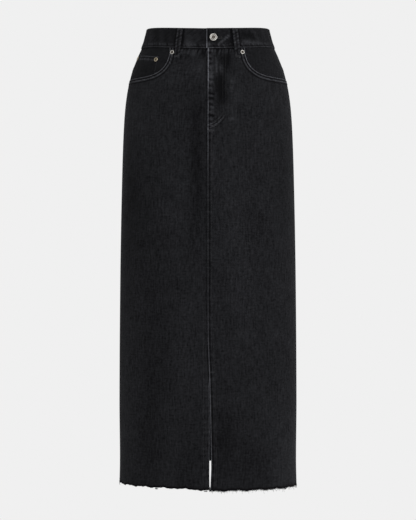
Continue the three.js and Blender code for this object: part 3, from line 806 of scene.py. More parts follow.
def square_to(angle, level):
    """The direction square to the cloth."""
    turn, rise = 0.004, 1.0
    round_it = on_cloth(angle + turn, level) - on_cloth(angle - turn, level)
    up_it = on_cloth(angle, level + rise) - on_cloth(angle, level - rise)
    outward = np.cross(round_it, up_it)
    return outward / np.linalg.norm(outward, axis=-1, keepdims=True)


def beside(angle, level, distance):
    """The line at a distance from another, on its left as one travels along it."""
    points = on_cloth(angle, level)
    along = np.gradient(points, axis=0)
    along /= np.linalg.norm(along, axis=-1, keepdims=True)
    moved = points + distance * MM * np.cross(square_to(angle, level), along)
    new_level = moved[:, 2] / MM
    half = ring("half", new_level)
    deep = np.where(moved[:, 1] < 0, ring("front", new_level), ring("back", new_level))
    return np.arctan2(moved[:, 0] / half, -moved[:, 1] / deep), new_level


def guide(name, lines):
    """Lines for a node tree to follow, each as angle, level and offset arrays."""
    points, outward, edges = [], [], []
    for angle, level, out in lines:
        angle, level, out = np.broadcast_arrays(angle, level, out)
        start = len(points)
        points.extend(on_cloth(angle, level, out).tolist())
        outward.extend(square_to(angle, level).tolist())
        edges.extend((start + i, start + i + 1) for i in range(len(angle) - 1))
    mesh = bpy.data.meshes.new(name)
    mesh.from_pydata(points, edges, [])
    kept = mesh.attributes.new("outward", "FLOAT_VECTOR", "POINT")
    kept.data.foreach_set("vector", np.array(outward).ravel())
    return in_scene(name, mesh)


def grown(line, tree, sizes, material):
    """Runs a node tree along guide lines and keeps the result as a plain mesh."""
    modifier = line.modifiers.new("grown", "NODES")
    modifier.node_group = tree
    for item in tree.interface.items_tree:
        if item.in_out == "INPUT" and item.name in sizes:
            modifier[item.identifier] = sizes[item.name]
        elif item.in_out == "INPUT" and item.socket_type == "NodeSocketMaterial":
            modifier[item.identifier] = material
    line.update_tag()
    view = bpy.context.evaluated_depsgraph_get()
    mesh = bpy.data.meshes.new_from_object(line.evaluated_get(view), depsgraph=view)
    line.modifiers.clear()
    line.data = mesh
    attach(line, "root")
    return line


def sew(name, rows, tacks, material):
    """Stitches that lie along some lines and bar tacks that lie across others, as two pieces."""
    sewn = [grown(guide(name, rows), stitches, STITCH, material)]
    if tacks:
        sewn.append(grown(guide(f"{name}_tacks", tacks), stitches, TACK, material))
    return sewn


stitches = stitch_tree()
charcoal_thread = thread("charcoal_thread", (0.028, 0.028, 0.031))


def stitched_fronts(side, name):
    """Rows and tacks of one front, just proud of its cloth."""
    rows, tacks = [], []
    mouth_line = evenly_along(90, *mouth(side, MOUTH_TRACE))
    for inset in MOUTH_ROWS:
        angle, level = beside(*mouth_line, -side * inset)
        kept = (level < front_top(angle) - 0.6) & (np.abs(angle) < math.pi / 2 - 0.008)
        rows.append((angle[kept], level[kept]))
    slit_levels = np.arange(SLIT_FACING_TOP, HEM[0] + 3, GUIDE_STEP)
    if side == LEFT:
        rows += [fly_line(inset) for inset in FLY_ROWS]
        levels = np.r_[np.arange(FLY_FOOT - 2, SLIT_FACING_TOP, GUIDE_STEP), slit_levels]
        easing = (-SLIT_FACING_TOP - 20, -SLIT_FACING_TOP + 12)
        for insets in zip(SEAM_ROWS, SLIT_ROWS[LEFT]):
            across = np.interp(-levels, easing, insets)
            rows.append((angle_at(edge_x("left", levels) + across, levels), levels))
        tacks = [(angle_at(np.linspace(start, end, 8), level), level)
                 for start, end, level in TACK_LINES]
    else:
        rows += [(angle_at(-x, slit_levels), slit_levels) for x in SLIT_ROWS[RIGHT]]

    def laid(lines):
        lines = [np.broadcast_arrays(*line) for line in lines]
        return [(a, z, front_relief(side, name, a, z)[0] + THREAD_OUT) for a, z in lines]

    return laid(rows), laid(tacks)


for side, name in SIDES:
    rows, tacks = stitched_fronts(side, name)
    sew(f"front_{name}_stitches", rows, tacks, charcoal_thread)


# Raw hem
# Every panel is cut off at the foot and left unhemmed. Its yarns ravel after a wash, into a
# short uneven fringe with a longer loose end here and there.
FRAY = {"Pitch": 0.72 * MM, "Least": 1.0 * MM, "Most": 2.3 * MM, "Longest": 7.0 * MM,
        "Thick": 0.22 * MM, "Wander": 1.1 * MM}
FRAY_DEPTHS = (-0.15, -0.6, -1.05)
CORNER_FROM, CORNER_TO = -943, -951
# Tufts that hang lower, as the angle they are at and how far they reach along the edge
TUFT_DOWN = 1.4
TUFTS = ((-87, 4), (-34.5, 5), (-1.5, 5), (58, 3), (86, 3))


def fray_tree():
    """Bent, tapering yarns that hang from a line, most of them short."""
    tree, given, points = tree_along_line("ravelled_yarns", FRAY, "Yarn", "Fringe")
    turn = turned_on_line(
        tree, X=random_number(tree, -0.3, 0.3, 11), Y=random_number(tree, -math.pi, math.pi, 12),
        Z=random_number(tree, -0.5, 0.5, 13))
    usual = random_number(tree, given["Least"], given["Most"], 14)
    seldom = calc(tree, "POWER", random_number(tree, 0.0, 1.0, 15), 22.0)
    length = calc(tree, "MULTIPLY_ADD", seldom, given["Longest"], usual)
    bent = first(tree, "GeometryNodeCurveQuadraticBezier", {
        "Resolution": 4, "Start": (0, 0.15, 0), "Middle": (0.3, -0.45, 0),
        "End": (-0.05, -1, 0.1)})
    yarns_placed = placed_on(tree, points, bent, turn, length)

    down = first(tree, "GeometryNodeSplineParameter", {})
    place = first(tree, "GeometryNodeInputPosition", {})
    inputs = {"Vector": place, "Scale": 600.0, "Detail": 1.0}
    noise = add_node(tree, "ShaderNodeTexNoise", inputs).outputs[1]
    sway = first(tree, "ShaderNodeVectorMath", {0: noise, 1: (0.5,) * 3}, operation="SUBTRACT")
    inputs = {0: sway, "Scale": calc(tree, "MULTIPLY", down, given["Wander"])}
    wander = first(tree, "ShaderNodeVectorMath", inputs, operation="SCALE")
    moved = first(tree, "GeometryNodeSetPosition", {"Geometry": yarns_placed, "Offset": wander})
    taper = calc(tree, "MULTIPLY_ADD", down, -0.6, 1.0)
    thick = first(tree, "GeometryNodeSetCurveRadius", {"Curve": moved, "Radius": taper})
    inputs = {"Resolution": 3, "Radius": given["Thick"]}
    section = first(tree, "GeometryNodeCurvePrimitiveCircle", inputs)
    tube = first(tree, "GeometryNodeCurveToMesh",
                 {"Curve": thick, "Profile Curve": section, "Fill Caps": True})
    real = first(tree, "GeometryNodeRealizeInstances", {"Geometry": tube})
    return end_tree(tree, real, given["Yarn"])


ravelling = fray_tree()
# The yarns are coloured darker than the cloth, as painted shade along the ravelled hem.
frayed_yarn = thread("frayed_yarn", (0.005, 0.005, 0.006))


def slit_corner(side, name):
    """The last centimetre of a slit's edge ravels too, and its yarns reach across the slit."""
    levels = np.linspace(CORNER_FROM, CORNER_TO, 10)[::side]
    return angle_at(edge_x(name, levels) + side * 0.5, levels), levels


def tuft(angle, wide):
    """A short run of edge in a clump of loose yarns."""
    around = math.radians(angle) + np.linspace(-wide, wide, 6) / 300
    return around, hem_level(around) + HEM_CLEAR - TUFT_DOWN


def raw_hem(name, *edges):
    """The ravelled yarns along one panel's cut edges, each given as angles and levels."""
    lines = [(angle, level, out) for angle, level in edges for out in FRAY_DEPTHS]
    fringe = grown(guide(f"hem_fray_{name}_yarns", lines), ravelling, FRAY, frayed_yarn)
    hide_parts(f"hem_fray_{name}")
    return fringe


for side, name in SIDES:
    edge = angle_at(edge_x(name, HEM[0]) + side * 0.4, HEM[0])
    angle = np.linspace(edge, side * (math.pi / 2 - 0.003), 240)
    tufts = [tuft(*row) for row in TUFTS if row[0] * side > 0]
    fringe = raw_hem(f"front_{name}", (angle, hem_level(angle) + HEM_CLEAR),
                     slit_corner(side, name), *tufts)


# Pocket facings
# A shaped piece of the same denim behind each pocket mouth, with its black set deeper than
# the fronts'. It is sewn in with the side seam and the waistband.
FACING_OUT = {RIGHT: -2.8, LEFT: -1.5}
FACING_BELOW = 14
FACING_FLAT_UNTIL = 0.075
FACING_REACH = 13
FACING_RADIUS, FACING_SIDE_RADIUS = 150, 104
dark_denim = denim("dark_denim", 0.105, streaks=0.8)


def facing_grid(side):
    angle, level = mouth(side, MOUTH_TRACE)
    foot = mouth(side, np.maximum(MOUTH_TRACE, FACING_FLAT_UNTIL))[1] - FACING_BELOW
    span = np.abs(angle - angle[0])
    reach = FACING_REACH / FACING_RADIUS
    steps = np.linspace(-reach, span[-1], 52)
    foot = np.interp(steps, span, foot)
    angle = angle[0] + side * steps
    top = front_top(angle)
    share = np.linspace(0, 1, 26)[:, None]
    level = top + share * (foot - top)
    angle = np.broadcast_to(angle, level.shape)
    if side == RIGHT:
        angle, level = angle[:, ::-1], level[:, ::-1]
    return angle, level


for side, name in SIDES:
    angle, level = facing_grid(side)
    slack = ripple(level + angle * 60, 19.0, 1.3)
    out = FACING_OUT[side] + 0.12 * slack
    under_band = peak(front_top(angle), level, 5)
    from_side = (math.pi / 2 - np.abs(angle)) * FACING_SIDE_RADIUS
    wear_and_shade = 0.125 * slack + under_band * (0.1 + 0.4 * ripple(angle * FACING_RADIUS, 8.0, 0.2))
    wear_and_shade += 1.7 * peak(from_side, 0, 1.4) + wash_and_shading(angle, level) * 0.4
    wear_and_shade += (0.9 if side == LEFT else 0.3) * peak(from_side, 20, 12)
    piece = shell(f"pocket_facing_{name}_denim", angle, level, out, FACING_OUT[side] - DENIM,
                  wear_and_shade, dark_denim)
    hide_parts(f"pocket_facing_{name}")
    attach(piece, "root")


# Coin pocket
# A small patch pocket on the wearer's right facing. Its top is hemmed with two rows of
# stitches and its sides are turned under and sewn down, and it runs down into the pocket.
COIN_OUT = -1.5
COIN_CLOTH = 1.0
COIN_TOP = (-43.5, 17.9, 17.9)
COIN_SHARES = (0.366, 0.985)
COIN_CLEAR = 1.5
COIN_RADIUS = 127
COIN_ROWS = (2.0, 7.6)
COIN_ROW_FOOT = -66
COIN_THREAD_OUT = COIN_OUT + 0.12


def coin_top(angle):
    return edge_level(COIN_TOP, angle)


def coin_grid():
    angle, level = mouth(RIGHT, np.linspace(*COIN_SHARES, 300))
    columns = np.linspace(angle[-1], angle[0], 34)
    order = np.argsort(angle)
    foot = np.interp(columns, angle[order], level[order]) + COIN_CLEAR
    share = np.r_[0, 0.01, 0.03, 0.06, np.linspace(0.1, 1, 18)][:, None]
    level = coin_top(columns) + share * (foot - coin_top(columns))
    return np.broadcast_to(columns, level.shape), level


angle, level = coin_grid()
from_inner = (angle[0, -1] - angle) * COIN_RADIUS
from_top = coin_top(angle) - level
hem_band = 1 - smooth(from_top, 8.4, 10)
ruck = ripple(angle * COIN_RADIUS, 7.0, 2.2)
relief = rolled(from_top, 0.7) + rolled(from_inner, 0.7) + hem_band * 0.05 * ruck
wear_and_shade = -0.25 + hem_band * (0.1 + 0.9 * ruck) + (7.5 + 7.0 * ruck) * peak(from_top, 0, 1.2)
wear_and_shade += (4.0 + 6.0 * ruck) * peak(from_top, COIN_ROWS[1], 1.3) + 1.2 * peak(from_inner, 0, 0.8)
coin_pocket = shell("coin_pocket_denim", angle, level, COIN_OUT + relief, COIN_OUT - COIN_CLOTH,
                    wear_and_shade, dark_denim, grain=(0, 300))
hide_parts("coin_pocket")
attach(coin_pocket, "root")
across = np.linspace(angle[0, 0] + 0.02, angle[0, -1] - 0.012, 40)
inner_levels = np.linspace(coin_top(angle[0, -1]) - 0.5, COIN_ROW_FOOT, 20)
coin_rows = [(across, coin_top(across) - inset, COIN_THREAD_OUT) for inset in COIN_ROWS]
coin_rows.append((angle[0, -1] - 1.9 / COIN_RADIUS, inner_levels, COIN_THREAD_OUT))
coin_sewn = sew("coin_pocket_stitches", coin_rows, [], charcoal_thread)


# The two backs and their yokes
# A yoke over a long panel on each side shapes the seat. The yokes lap down over the panels,
# and the left half laps over the right down the middle, each with two rows of stitches.
YOKE_FOOT = (-110, 52, 22)
BACK_CUT = (0.320, 0.880)
YOKE_CUT = (0.220, 0.082)
BACK_ROWS = (1.9, 7.8)
MIDDLE_RADIUS, BACK_SIDE_RADIUS = 186, 122
SEAT_RADIUS, YOKE_RADIUS = 185, 150
NO_FOOT = -2000


def back_angles(side, count):
    near_middle = np.array(TOP_STEPS[:10]) / SEAT_RADIUS
    span = math.pi / 2 - 2 * SEAM_TURN
    steps = np.r_[near_middle, np.linspace(near_middle[-1], span, count)[1:]]
    if side == LEFT:
        return math.pi - SEAM_TURN - steps[::-1]
    return -math.pi + SEAM_TURN + steps


def back_relief(side, angle, level, foot, upper):
    """Offset, wear and painted shading of a back piece, given the level of its lower edge."""
    from_middle = (math.pi - np.abs(angle)) * MIDDLE_RADIUS
    from_side = (np.abs(angle) - math.pi / 2) * BACK_SIDE_RADIUS
    from_foot = level - foot
    out = rolled(from_middle, 0.6) + rolled(from_side, 0.6)
    # Painted shade darkens the cloth along the raw hem.
    wear_and_shade = wash_and_shading(angle, level) - 2.6 * peak(level, hem_level(angle), HEM_SHADE)
    seam = 1 - smooth(from_middle, 8.6, 10.2)
    pucker = ripple(level, 11.0, 2.2 + side)
    out += seam * ((0.35 if side == LEFT else 0.1) + 0.14 * pucker)
    wear_and_shade += seam * (0.12 + 0.28 * pucker)
    wear_and_shade += (1.5 if side == LEFT else 0.2) * peak(from_middle, 0, 0.9)
    wear_and_shade += 0.7 * peak(from_side, 0, 1.3)
    if upper:
        band = 1 - smooth(from_foot, 8.6, 10.2)
        ruck = ripple(angle * YOKE_RADIUS, 9.0, 0.9 + side)
        out += rolled(from_foot, 0.7) + band * (0.35 + 0.14 * ruck)
        wear_and_shade += band * (0.15 + 0.35 * ruck) + 1.7 * peak(from_foot, 0, 0.9)
        under_band = peak(front_top(angle), level, 5)
        wear_and_shade += under_band * (0.1 + 0.4 * ripple(angle * YOKE_RADIUS, 8.0, 0.5))
    return out, wear_and_shade


def yoke_foot(angle):
    return edge_level(YOKE_FOOT, angle)


def back_piece(name, side, top, foot, shares, upper):
    angle = back_angles(side, 84)
    level = top(angle) + shares[:, None] * (foot(angle) - top(angle))
    angle = np.broadcast_to(angle, level.shape)
    out, wear_and_shade = back_relief(side, angle, level, foot(angle), upper)
    return shell(name, angle, level, out, -DENIM, wear_and_shade, washed_denim, grain=(500 * side, 0))


yoke_shares = np.r_[np.linspace(0, 0.86, 22), np.linspace(0.88, 1, 10)]
back_shares = np.linspace(0, 1, 190)
for side, name in SIDES:
    yoke = back_piece(f"yoke_{name}_denim", side, front_top, yoke_foot, yoke_shares, True)
    back = back_piece(f"back_{name}_denim", side, lambda a: yoke_foot(a) - GAP,
                      lambda a: hem_level(a) + HEM_CLEAR, back_shares, False)

    across = np.linspace(math.pi / 2 + 0.01, math.pi - 0.004, 120) * side
    rows = []
    for inset in BACK_ROWS:
        levels = yoke_foot(across) + inset
        out = back_relief(side, across, levels, yoke_foot(across), True)[0]
        rows.append((across, levels, out + THREAD_OUT))
    sewn = {"yoke": sew(f"yoke_{name}_stitches", rows, [], charcoal_thread)}
    rows = []
    if side == LEFT:
        for inset in BACK_ROWS:
            levels = np.arange(BAND_FOOT[0] + 20, HEM[0] + 28, GUIDE_STEP)
            middle = np.full(len(levels), math.pi - inset / MIDDLE_RADIUS)
            feet = np.where(levels > yoke_foot(middle), yoke_foot(middle), NO_FOOT)
            out = back_relief(side, middle, levels, feet, False)[0]
            rows.append((middle, levels, out + THREAD_OUT))
        sewn["back"] = sew("centre_back_stitches", rows, [], charcoal_thread)
    angle = np.linspace(side * (math.pi / 2 + 0.003), side * (math.pi - 0.003), 240)
    fringe = raw_hem(f"back_{name}", (angle, hem_level(angle) + HEM_CLEAR))
    sewn["back"] = [*sewn.get("back", []), fringe]
    for part, piece, cut in (("yoke", yoke, YOKE_CUT), ("back", back, BACK_CUT)):
        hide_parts(f"{part}_{name}")
        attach(piece, "root")


# Waistband
# One shaped strip of denim, doubled over and filled with the seam allowances at its foot,
# which pucker. Its wearer's left end laps over the right one and buttons there.
BAND = 2.8
BAND_OUT = 0.8
BAND_OVER, BAND_UNDER = -3.4, 37
BAND_CLEAR, BAND_BLEND = 4, 30
BAND_RADIUS, RUCK_RADIUS = 141, 140
BAND_SHARES = (0, 0.006, 0.016, 0.035, 0.06, 0.1, 0.16, 0.23, 0.31, 0.4, 0.49, 0.57, 0.64, 0.7,
               0.755, 0.80, 0.84, 0.88, 0.92, 0.95, 0.975, 0.99, 1)
BAND_COLUMNS = 400


def band_shift(angle):
    """The over end stands out from the form and the under end lies in from it."""
    lift = (BAND + GAP) / 2

    def past_under(distance):
        return angle_at(BAND_UNDER + distance, 0)

    def before_over(distance):
        return 2 * math.pi + angle_at(BAND_OVER - distance, 0)

    over = 1 - smooth(angle, past_under(BAND_CLEAR), past_under(BAND_BLEND))
    under = smooth(angle, before_over(BAND_BLEND), before_over(BAND_CLEAR))
    return lift * (over - under)


# Rubbed places on the waistband: angle, level, spread round and down, and amount
BAND_PATCHES = [
    (-13, 0, 6, 17, 0.8), (-17, -10, 5, 6, 0.9), (-19, -16, 5, 3, 0.7), (-58, -5, 13, 3, 0.6),
    (-22, 14, 5, 9, 0.45), (-62, 14, 10, 12, 0.35), (-38, 4, 7, 12, -0.3), (1.7, -11, 3, 4, 1.6),
    (-0.5, -15, 0.8, 5, 8), (12, -6, 4, 7, -0.5), (19, 9, 5, 10, 0.45), (23, -14, 5, 6, -0.9),
    (34, -5, 5, 3.4, 1.7), (44, -4, 7, 3.2, 1.6), (38, 10, 13, 7, -0.6), (62, 8, 9, 12, 0.2),
]

# The front loops' middles at their tops and feet, and how far they reach below the band
LOOP_TOP, LOOP_FOOT = 57, 65
LOOP_BELOW = 22


def loop_middle(side, down):
    """The angle of a front loop's middle line, which leans outwards down its length."""
    x = side * (LOOP_TOP + (LOOP_FOOT - LOOP_TOP) * down) + MIDDLE
    return angle_at(x, BAND_TOP[0] + (BAND_FOOT[0] - LOOP_BELOW - BAND_TOP[0]) * down)


def band_relief(angle, level):
    """Offset of the band's outer face, and its wear and painted shade there."""
    top, foot = edge_level(BAND_TOP, angle), edge_level(BAND_FOOT, angle)
    from_top, from_foot = top - level, level - foot
    run = angle * BAND_RADIUS
    from_over = run - angle_at(BAND_OVER, 0) * BAND_RADIUS
    ridge = np.exp(-(((from_foot - 6.0) / 3.6) ** 4))
    ruck = ripple(angle * RUCK_RADIUS + 0.55 * from_foot, 8.5, 1.9)
    fine = ripple(angle * RUCK_RADIUS - 0.4 * from_foot, 4.6, 0.7)
    out = BAND_OUT + rolled(from_top, 1.2) + rolled(from_foot, 0.7) + rolled(from_over, 1.0)
    out += ridge * (0.35 + 0.40 * ruck + 0.15 * fine)
    pull = peak(level + 12.9, 0.8 * (run - 20.3), 2.2)
    pull *= smooth(run, 16, 27) * (1 - smooth(run, 41, 49))
    out += 0.7 * pull
    wear_and_shade = -0.3 + ridge * (0.8 + 1.5 * ruck + 0.6 * fine)
    wear_and_shade += spots(BAND_PATCHES, angle, level)
    wear_and_shade += (1.2 + 0.8 * ruck) * peak(from_top, 0, 1.1)
    near_over = 1 - smooth(from_over, 12, 34)
    wear_and_shade += (3.4 + 2.0 * ruck + 5.0 * near_over) * peak(from_foot, 0, 1.3)
    # Painted shade in the groove along the foot's row.
    wear_and_shade -= 1.3 * peak(from_foot, 3.0, 1.2)
    wear_and_shade += 13.0 * peak(from_over, 0, 1.2) + 4.0 * pull
    # Painted shade in the groove beside the over end's row.
    wear_and_shade -= 1.3 * peak(from_over, 4.0, 1.6)
    # Painted shadows on the band beside each front loop, deeper on the side towards centre front.
    for side in (RIGHT, LEFT):
        middle = loop_middle(side, from_top / (BAND_TOP[0] - BAND_FOOT[0] + LOOP_BELOW))
        from_loop = turn_from(angle, middle) * BAND_RADIUS * side
        wear_and_shade -= 2.6 * peak(from_loop, -8.6, 2.4) + 1.4 * peak(from_loop, 8.0, 1.8)
    broad = ripple(angle * RUCK_RADIUS + 0.5 * level, 31.0, 2.4)
    return out, wear_and_shade + 0.40 * broad * smooth(from_top, 2, 8)


def band_grid():
    last = 2 * math.pi + angle_at(BAND_UNDER, 0)
    start = angle_at(BAND_OVER, 0) + np.array([0, 0.25, 0.6, 1.1, 1.8]) / BAND_RADIUS
    angle = np.r_[start, np.linspace(start[-1], last, BAND_COLUMNS)[1:]]
    top, foot = edge_level(BAND_TOP, angle), edge_level(BAND_FOOT, angle)
    level = top + np.array(BAND_SHARES)[:, None] * (foot - top)
    return np.broadcast_to(angle, level.shape), level


angle, level = band_grid()
relief, wear_and_shade = band_relief(angle, level)
shift = band_shift(angle)
turned_in = 0.7 * peak(edge_level(BAND_TOP, angle), level, 0.8)
band_denim = denim("waistband_denim", 0.152)
waistband = shell("waistband_denim", angle, level, relief + shift,
                  BAND_OUT - BAND + turned_in + shift, wear_and_shade, band_denim, grain=(0, 700))
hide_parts("waistband")
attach(waistband, "root")

run = np.linspace(angle_at(BAND_OVER + 2.0, 0), 2 * math.pi - 0.06, 420)
end_levels = np.linspace(BAND_TOP[0] - 2, BAND_FOOT[0] + 2, 14)
band_lines = [
    (run, edge_level(BAND_TOP, run) - 2.2),
    (run, edge_level(BAND_FOOT, run) + 1.9),
    (np.full(14, angle_at(BAND_OVER + 2.0, 0)), end_levels),
]
band_rows = [(a, z, band_relief(a, z)[0] + band_shift(a) + THREAD_OUT) for a, z in band_lines]
band_sewn = sew("waistband_stitches", band_rows, [], charcoal_thread)


# Buttonhole
# A keyhole worked with close zigzag over a cord, from under the button towards the wearer's
# left, with a thin dark slit between its two sides.
HOLE_FROM, HOLE_TO = 12, 28
HOLE_LEVEL = 1.5
HOLE_HALF = 1.5
HOLE_STITCH = stitch_sizes(0.5, 2.4, 0.5, 0.7, 90)
around = np.radians(np.linspace(-90, 90, 14))
hole_x = np.r_[np.linspace(HOLE_FROM, HOLE_TO, 20), HOLE_TO + HOLE_HALF * np.cos(around),
               np.linspace(HOLE_TO, HOLE_FROM, 20)]
hole_level = HOLE_LEVEL + np.r_[np.full(20, -HOLE_HALF), HOLE_HALF * np.sin(around),
                                np.full(20, HOLE_HALF)]
hole_angle = angle_at(hole_x, hole_level)
hole_out = band_relief(hole_angle, hole_level)[0] + band_shift(hole_angle) + 0.1
buttonhole = grown(guide("buttonhole_stitches", [(hole_angle, hole_level, hole_out)]),
                   stitches, HOLE_STITCH, charcoal_thread)


# Belt loops
# Strips 12 mm wide, folded in three and sewn with two lengthwise rows, caught in at the band's
# top and bar-tacked to the panel below its foot. Two are in front and three behind.
LOOP_WIDE = 12
LOOP_THICK = 1.9
LOOP_SPRING = 1.3
ON_BAND = BAND_OUT + GAP
# Where a loop's inside lies, by the share of its length from the top and how far out it is
LOOP_REST = (
    (0, ON_BAND), (0.1, ON_BAND + 0.7 * LOOP_SPRING), (0.3, ON_BAND + LOOP_SPRING),
    (0.5, ON_BAND + LOOP_SPRING), (0.66, ON_BAND + 0.4 * LOOP_SPRING), (0.73, ON_BAND + 0.2),
    (0.82, GAP + 0.5), (0.9, GAP), (1, GAP),
)
LOOP_LONG = 58
LOOP_ROW = 3.6
LOOP_TACKS = (0.045, 0.93, 0.965)
LOOP_COLUMNS = np.array([0.7, 2, 3.2, 4.2, 4.9, 5.5, 5.85, 6])


def loop_line(middle, aside, down, lift):
    """Angle, level and offset along a loop, this far to one side of its middle."""
    centre = middle(down)
    top = edge_level(BAND_TOP, centre) - 0.6
    foot = edge_level(BAND_FOOT, centre) - LOOP_BELOW
    level = top + (foot - top) * down
    rest = np.interp(down, *zip(*LOOP_REST)) + lift * (1 - smooth(down, 0.66, 0.82))
    return centre + aside * turn_per_mm(centre, level), level, rest


def belt_loop(name, middle, lift, seed):
    down = np.r_[0, 0.006, 0.015, 0.03, np.linspace(0.055, 0.96, 34), 0.975, 0.988, 1]
    aside = np.r_[-LOOP_COLUMNS[::-1], LOOP_COLUMNS]
    grid_down, grid_aside = np.meshgrid(down, aside, indexing="ij")
    angle, level, rest = loop_line(middle, grid_aside, grid_down, lift)
    from_side = LOOP_WIDE / 2 - np.abs(grid_aside)
    pucker = ripple(grid_down * LOOP_LONG + grid_aside * 0.5, 6.5, seed)
    valley = peak(from_side, 2.4, 1.0)
    from_end = np.minimum(grid_down, 1 - grid_down) * LOOP_LONG
    outer = rest + LOOP_THICK + rolled(from_side, 0.9) + rolled(from_end, 0.8)
    outer += 0.15 * pucker - 0.3 * valley
    wear_and_shade = -0.45 + 0.7 * pucker + (2.4 + 3.2 * pucker) * valley
    wear_and_shade += (1.6 + 1.4 * pucker) * peak(from_side, 0, 0.9)
    wear_and_shade += 1.4 * peak(from_end, 0, 1.0)
    piece = shell(f"{name}_denim", angle, level, outer, rest, wear_and_shade, washed_denim, grain=(0, 900))

    def laid(aside, down, out):
        angle, level, rest = loop_line(middle, aside, down, lift)
        return angle, level, rest + LOOP_THICK + out

    along, across = np.linspace(0.03, 0.97, 24), np.linspace(-5.2, 5.2, 8)
    rows = [laid(np.full(24, row), along, -0.05) for row in (-LOOP_ROW, LOOP_ROW)]
    tacks = [laid(across, np.full(8, place), 0.05) for place in LOOP_TACKS]
    sewn = sew(f"{name}_stitches", rows, tacks, charcoal_thread)
    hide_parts(name)
    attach(piece, "root")


over_lift = band_shift(angle_at(LOOP_TOP + MIDDLE - LOOP_WIDE, 0))
belt_loop("belt_loop_front_right", lambda down: loop_middle(RIGHT, down), 0, 0.4)
belt_loop("belt_loop_front_left", lambda down: loop_middle(LEFT, down), over_lift, 1.8)
BACK_LOOPS = {"back_right": -124, "back_left": 124, "centre_back": 180}
for seed, (name, turn) in enumerate(BACK_LOOPS.items()):
    belt_loop(f"belt_loop_{name}", lambda down, t=turn: np.radians(t) + 0 * down, 0, 3.1 + seed)


# Button
# A plain jeans button of dull nickel, turned with a raised rim and ring round a low boss. Its
# neck comes through the buttonhole from a tack on the under end of the waistband.
BUTTON_X, BUTTON_LEVEL = 11.2, 1.5
BUTTON_SIDES = 56
METAL_COLUMNS = ("radius", "height", "bare")
BUTTON_SECTION = [
    (0, 0, 0.3), (4, 0, 0.3), (4, 1.7, 0.3), (7.1, 1.9, 0.6), (7.8, 2.2, 0.8), (8.1, 2.7, 0.9),
    (8.15, 3.2, 1), (8, 3.9, 1), (7.6, 4.4, 1), (7.1, 4.6, 1), (6.6, 4.5, 0.9), (6.2, 4.15, 0.6),
    (5.9, 3.8, 0.35), (5.4, 3.66, 0.35), (4.95, 3.74, 0.6), (4.6, 3.95, 0.9), (4.25, 4, 0.95),
    (3.9, 3.88, 0.75), (3.6, 3.62, 0.2), (3.1, 3.45, 0.03), (2.2, 3.4, 0), (1.7, 3.5, 0.03),
    (1.3, 3.8, 0.15), (0.9, 4, 0.3), (0.4, 4.08, 0.25), (0, 4.1, 0.2),
]


def worn_metal(name, bright, dull):
    """Plated metal: bright where it is rubbed and dull in its hollows, with fine scratches."""
    material, tree, shader = new_material(name, Metallic=1.0)
    bare = attribute(tree, "bare")
    scratches = calc(tree, "SUBTRACT", uneven_noise(tree, 900.0, 3.0), 0.5)
    rubbed = calc(tree, "MULTIPLY_ADD", scratches, 0.9, bare, clamp=True)
    tree.links.new(dyed(tree, rubbed, dull, bright), shader.inputs["Base Color"])
    rough = calc(tree, "MULTIPLY_ADD", rubbed, -0.25, 0.58)
    tree.links.new(rough, shader.inputs["Roughness"])
    add_bump(tree, shader, scratches, 0.35, 0.1)
    return material


def turned_on_cloth(name, section, angle, level, out, sides, material):
    """A small turned piece that stands square on the cloth, closed at both ends of its axis."""
    spot = on_cloth(angle, level, out)
    axis = square_to(angle, level)
    across = np.cross((0, 0, 1), axis)
    across = across / np.linalg.norm(across)
    upward = np.cross(axis, across)
    turn = np.linspace(0, 2 * math.pi, sides, endpoint=False)[:, None]
    ring_way = np.cos(turn) * across + np.sin(turn) * upward
    points, bare = [], []
    for radius, height, rubbed in section:
        centre = spot + (GAP + height) * MM * axis
        ring_points = [centre] if radius == 0 else centre + radius * MM * ring_way
        points.extend(np.atleast_2d(ring_points).tolist())
        bare.extend([rubbed] * len(ring_points))
    around = np.arange(sides)
    after = np.roll(around, -1)
    tip = len(points) - 1
    faces = [(0, 1 + j, 1 + i) for i, j in zip(around, after)]
    for ring_number in range(len(section) - 3):
        low, high = 1 + ring_number * sides, 1 + (ring_number + 1) * sides
        faces += [(low + i, low + j, high + j, high + i) for i, j in zip(around, after)]
    faces += [(tip - sides + i, tip - sides + j, tip) for i, j in zip(around, after)]
    mesh = bpy.data.meshes.new(name)
    mesh.from_pydata(points, [], [tuple(int(i) for i in face) for face in faces])
    mesh.attributes.new("bare", "FLOAT", "POINT").data.foreach_set("value", np.array(bare, float))
    piece = smooth_piece(name, mesh, material)
    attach(piece, "root")
    return piece


nickel = worn_metal("nickel", (0.66, 0.64, 0.60), (0.06, 0.045, 0.033))
button_angle = float(angle_at(BUTTON_X, BUTTON_LEVEL))
button = turned_on_cloth("button_turned", BUTTON_SECTION, button_angle, BUTTON_LEVEL,
                         BAND_OUT + band_shift(button_angle), BUTTON_SIDES, nickel)
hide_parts("button")


# Rivets
# Hollow-tube rivets closed over a burr: a rounded rim round a sunk ring and a small nipple.
# Nickel ones hold the ends of the pocket mouths, and brassy ones the coin pocket's corners.
RIVET_SECTION = [
    (0, 0, 0.4), (4.25, 0, 0.5), (4.5, 0.3, 0.7), (4.6, 0.7, 0.9), (4.4, 1.15, 1), (3.95, 1.5, 1),
    (3.4, 1.55, 0.95), (2.9, 1.35, 0.5), (2.5, 1.05, 0.06), (2.1, 0.95, 0), (1.8, 1.1, 0),
    (1.55, 1.45, 0.05), (1.35, 1.75, 0.12), (1, 1.9, 0.15), (0.65, 1.8, 0.02), (0.3, 1.5, 0),
    (0, 1.4, 0),
]
RIVET_SIDES = 32
MOUTH_RIVET_X, MOUTH_RIVET_LEVEL, MOUTH_RIVET_OUT = 74.1, -28, 0.1
COIN_RIVET_BELOW, COIN_RIVET_INSET = 6, 4.9

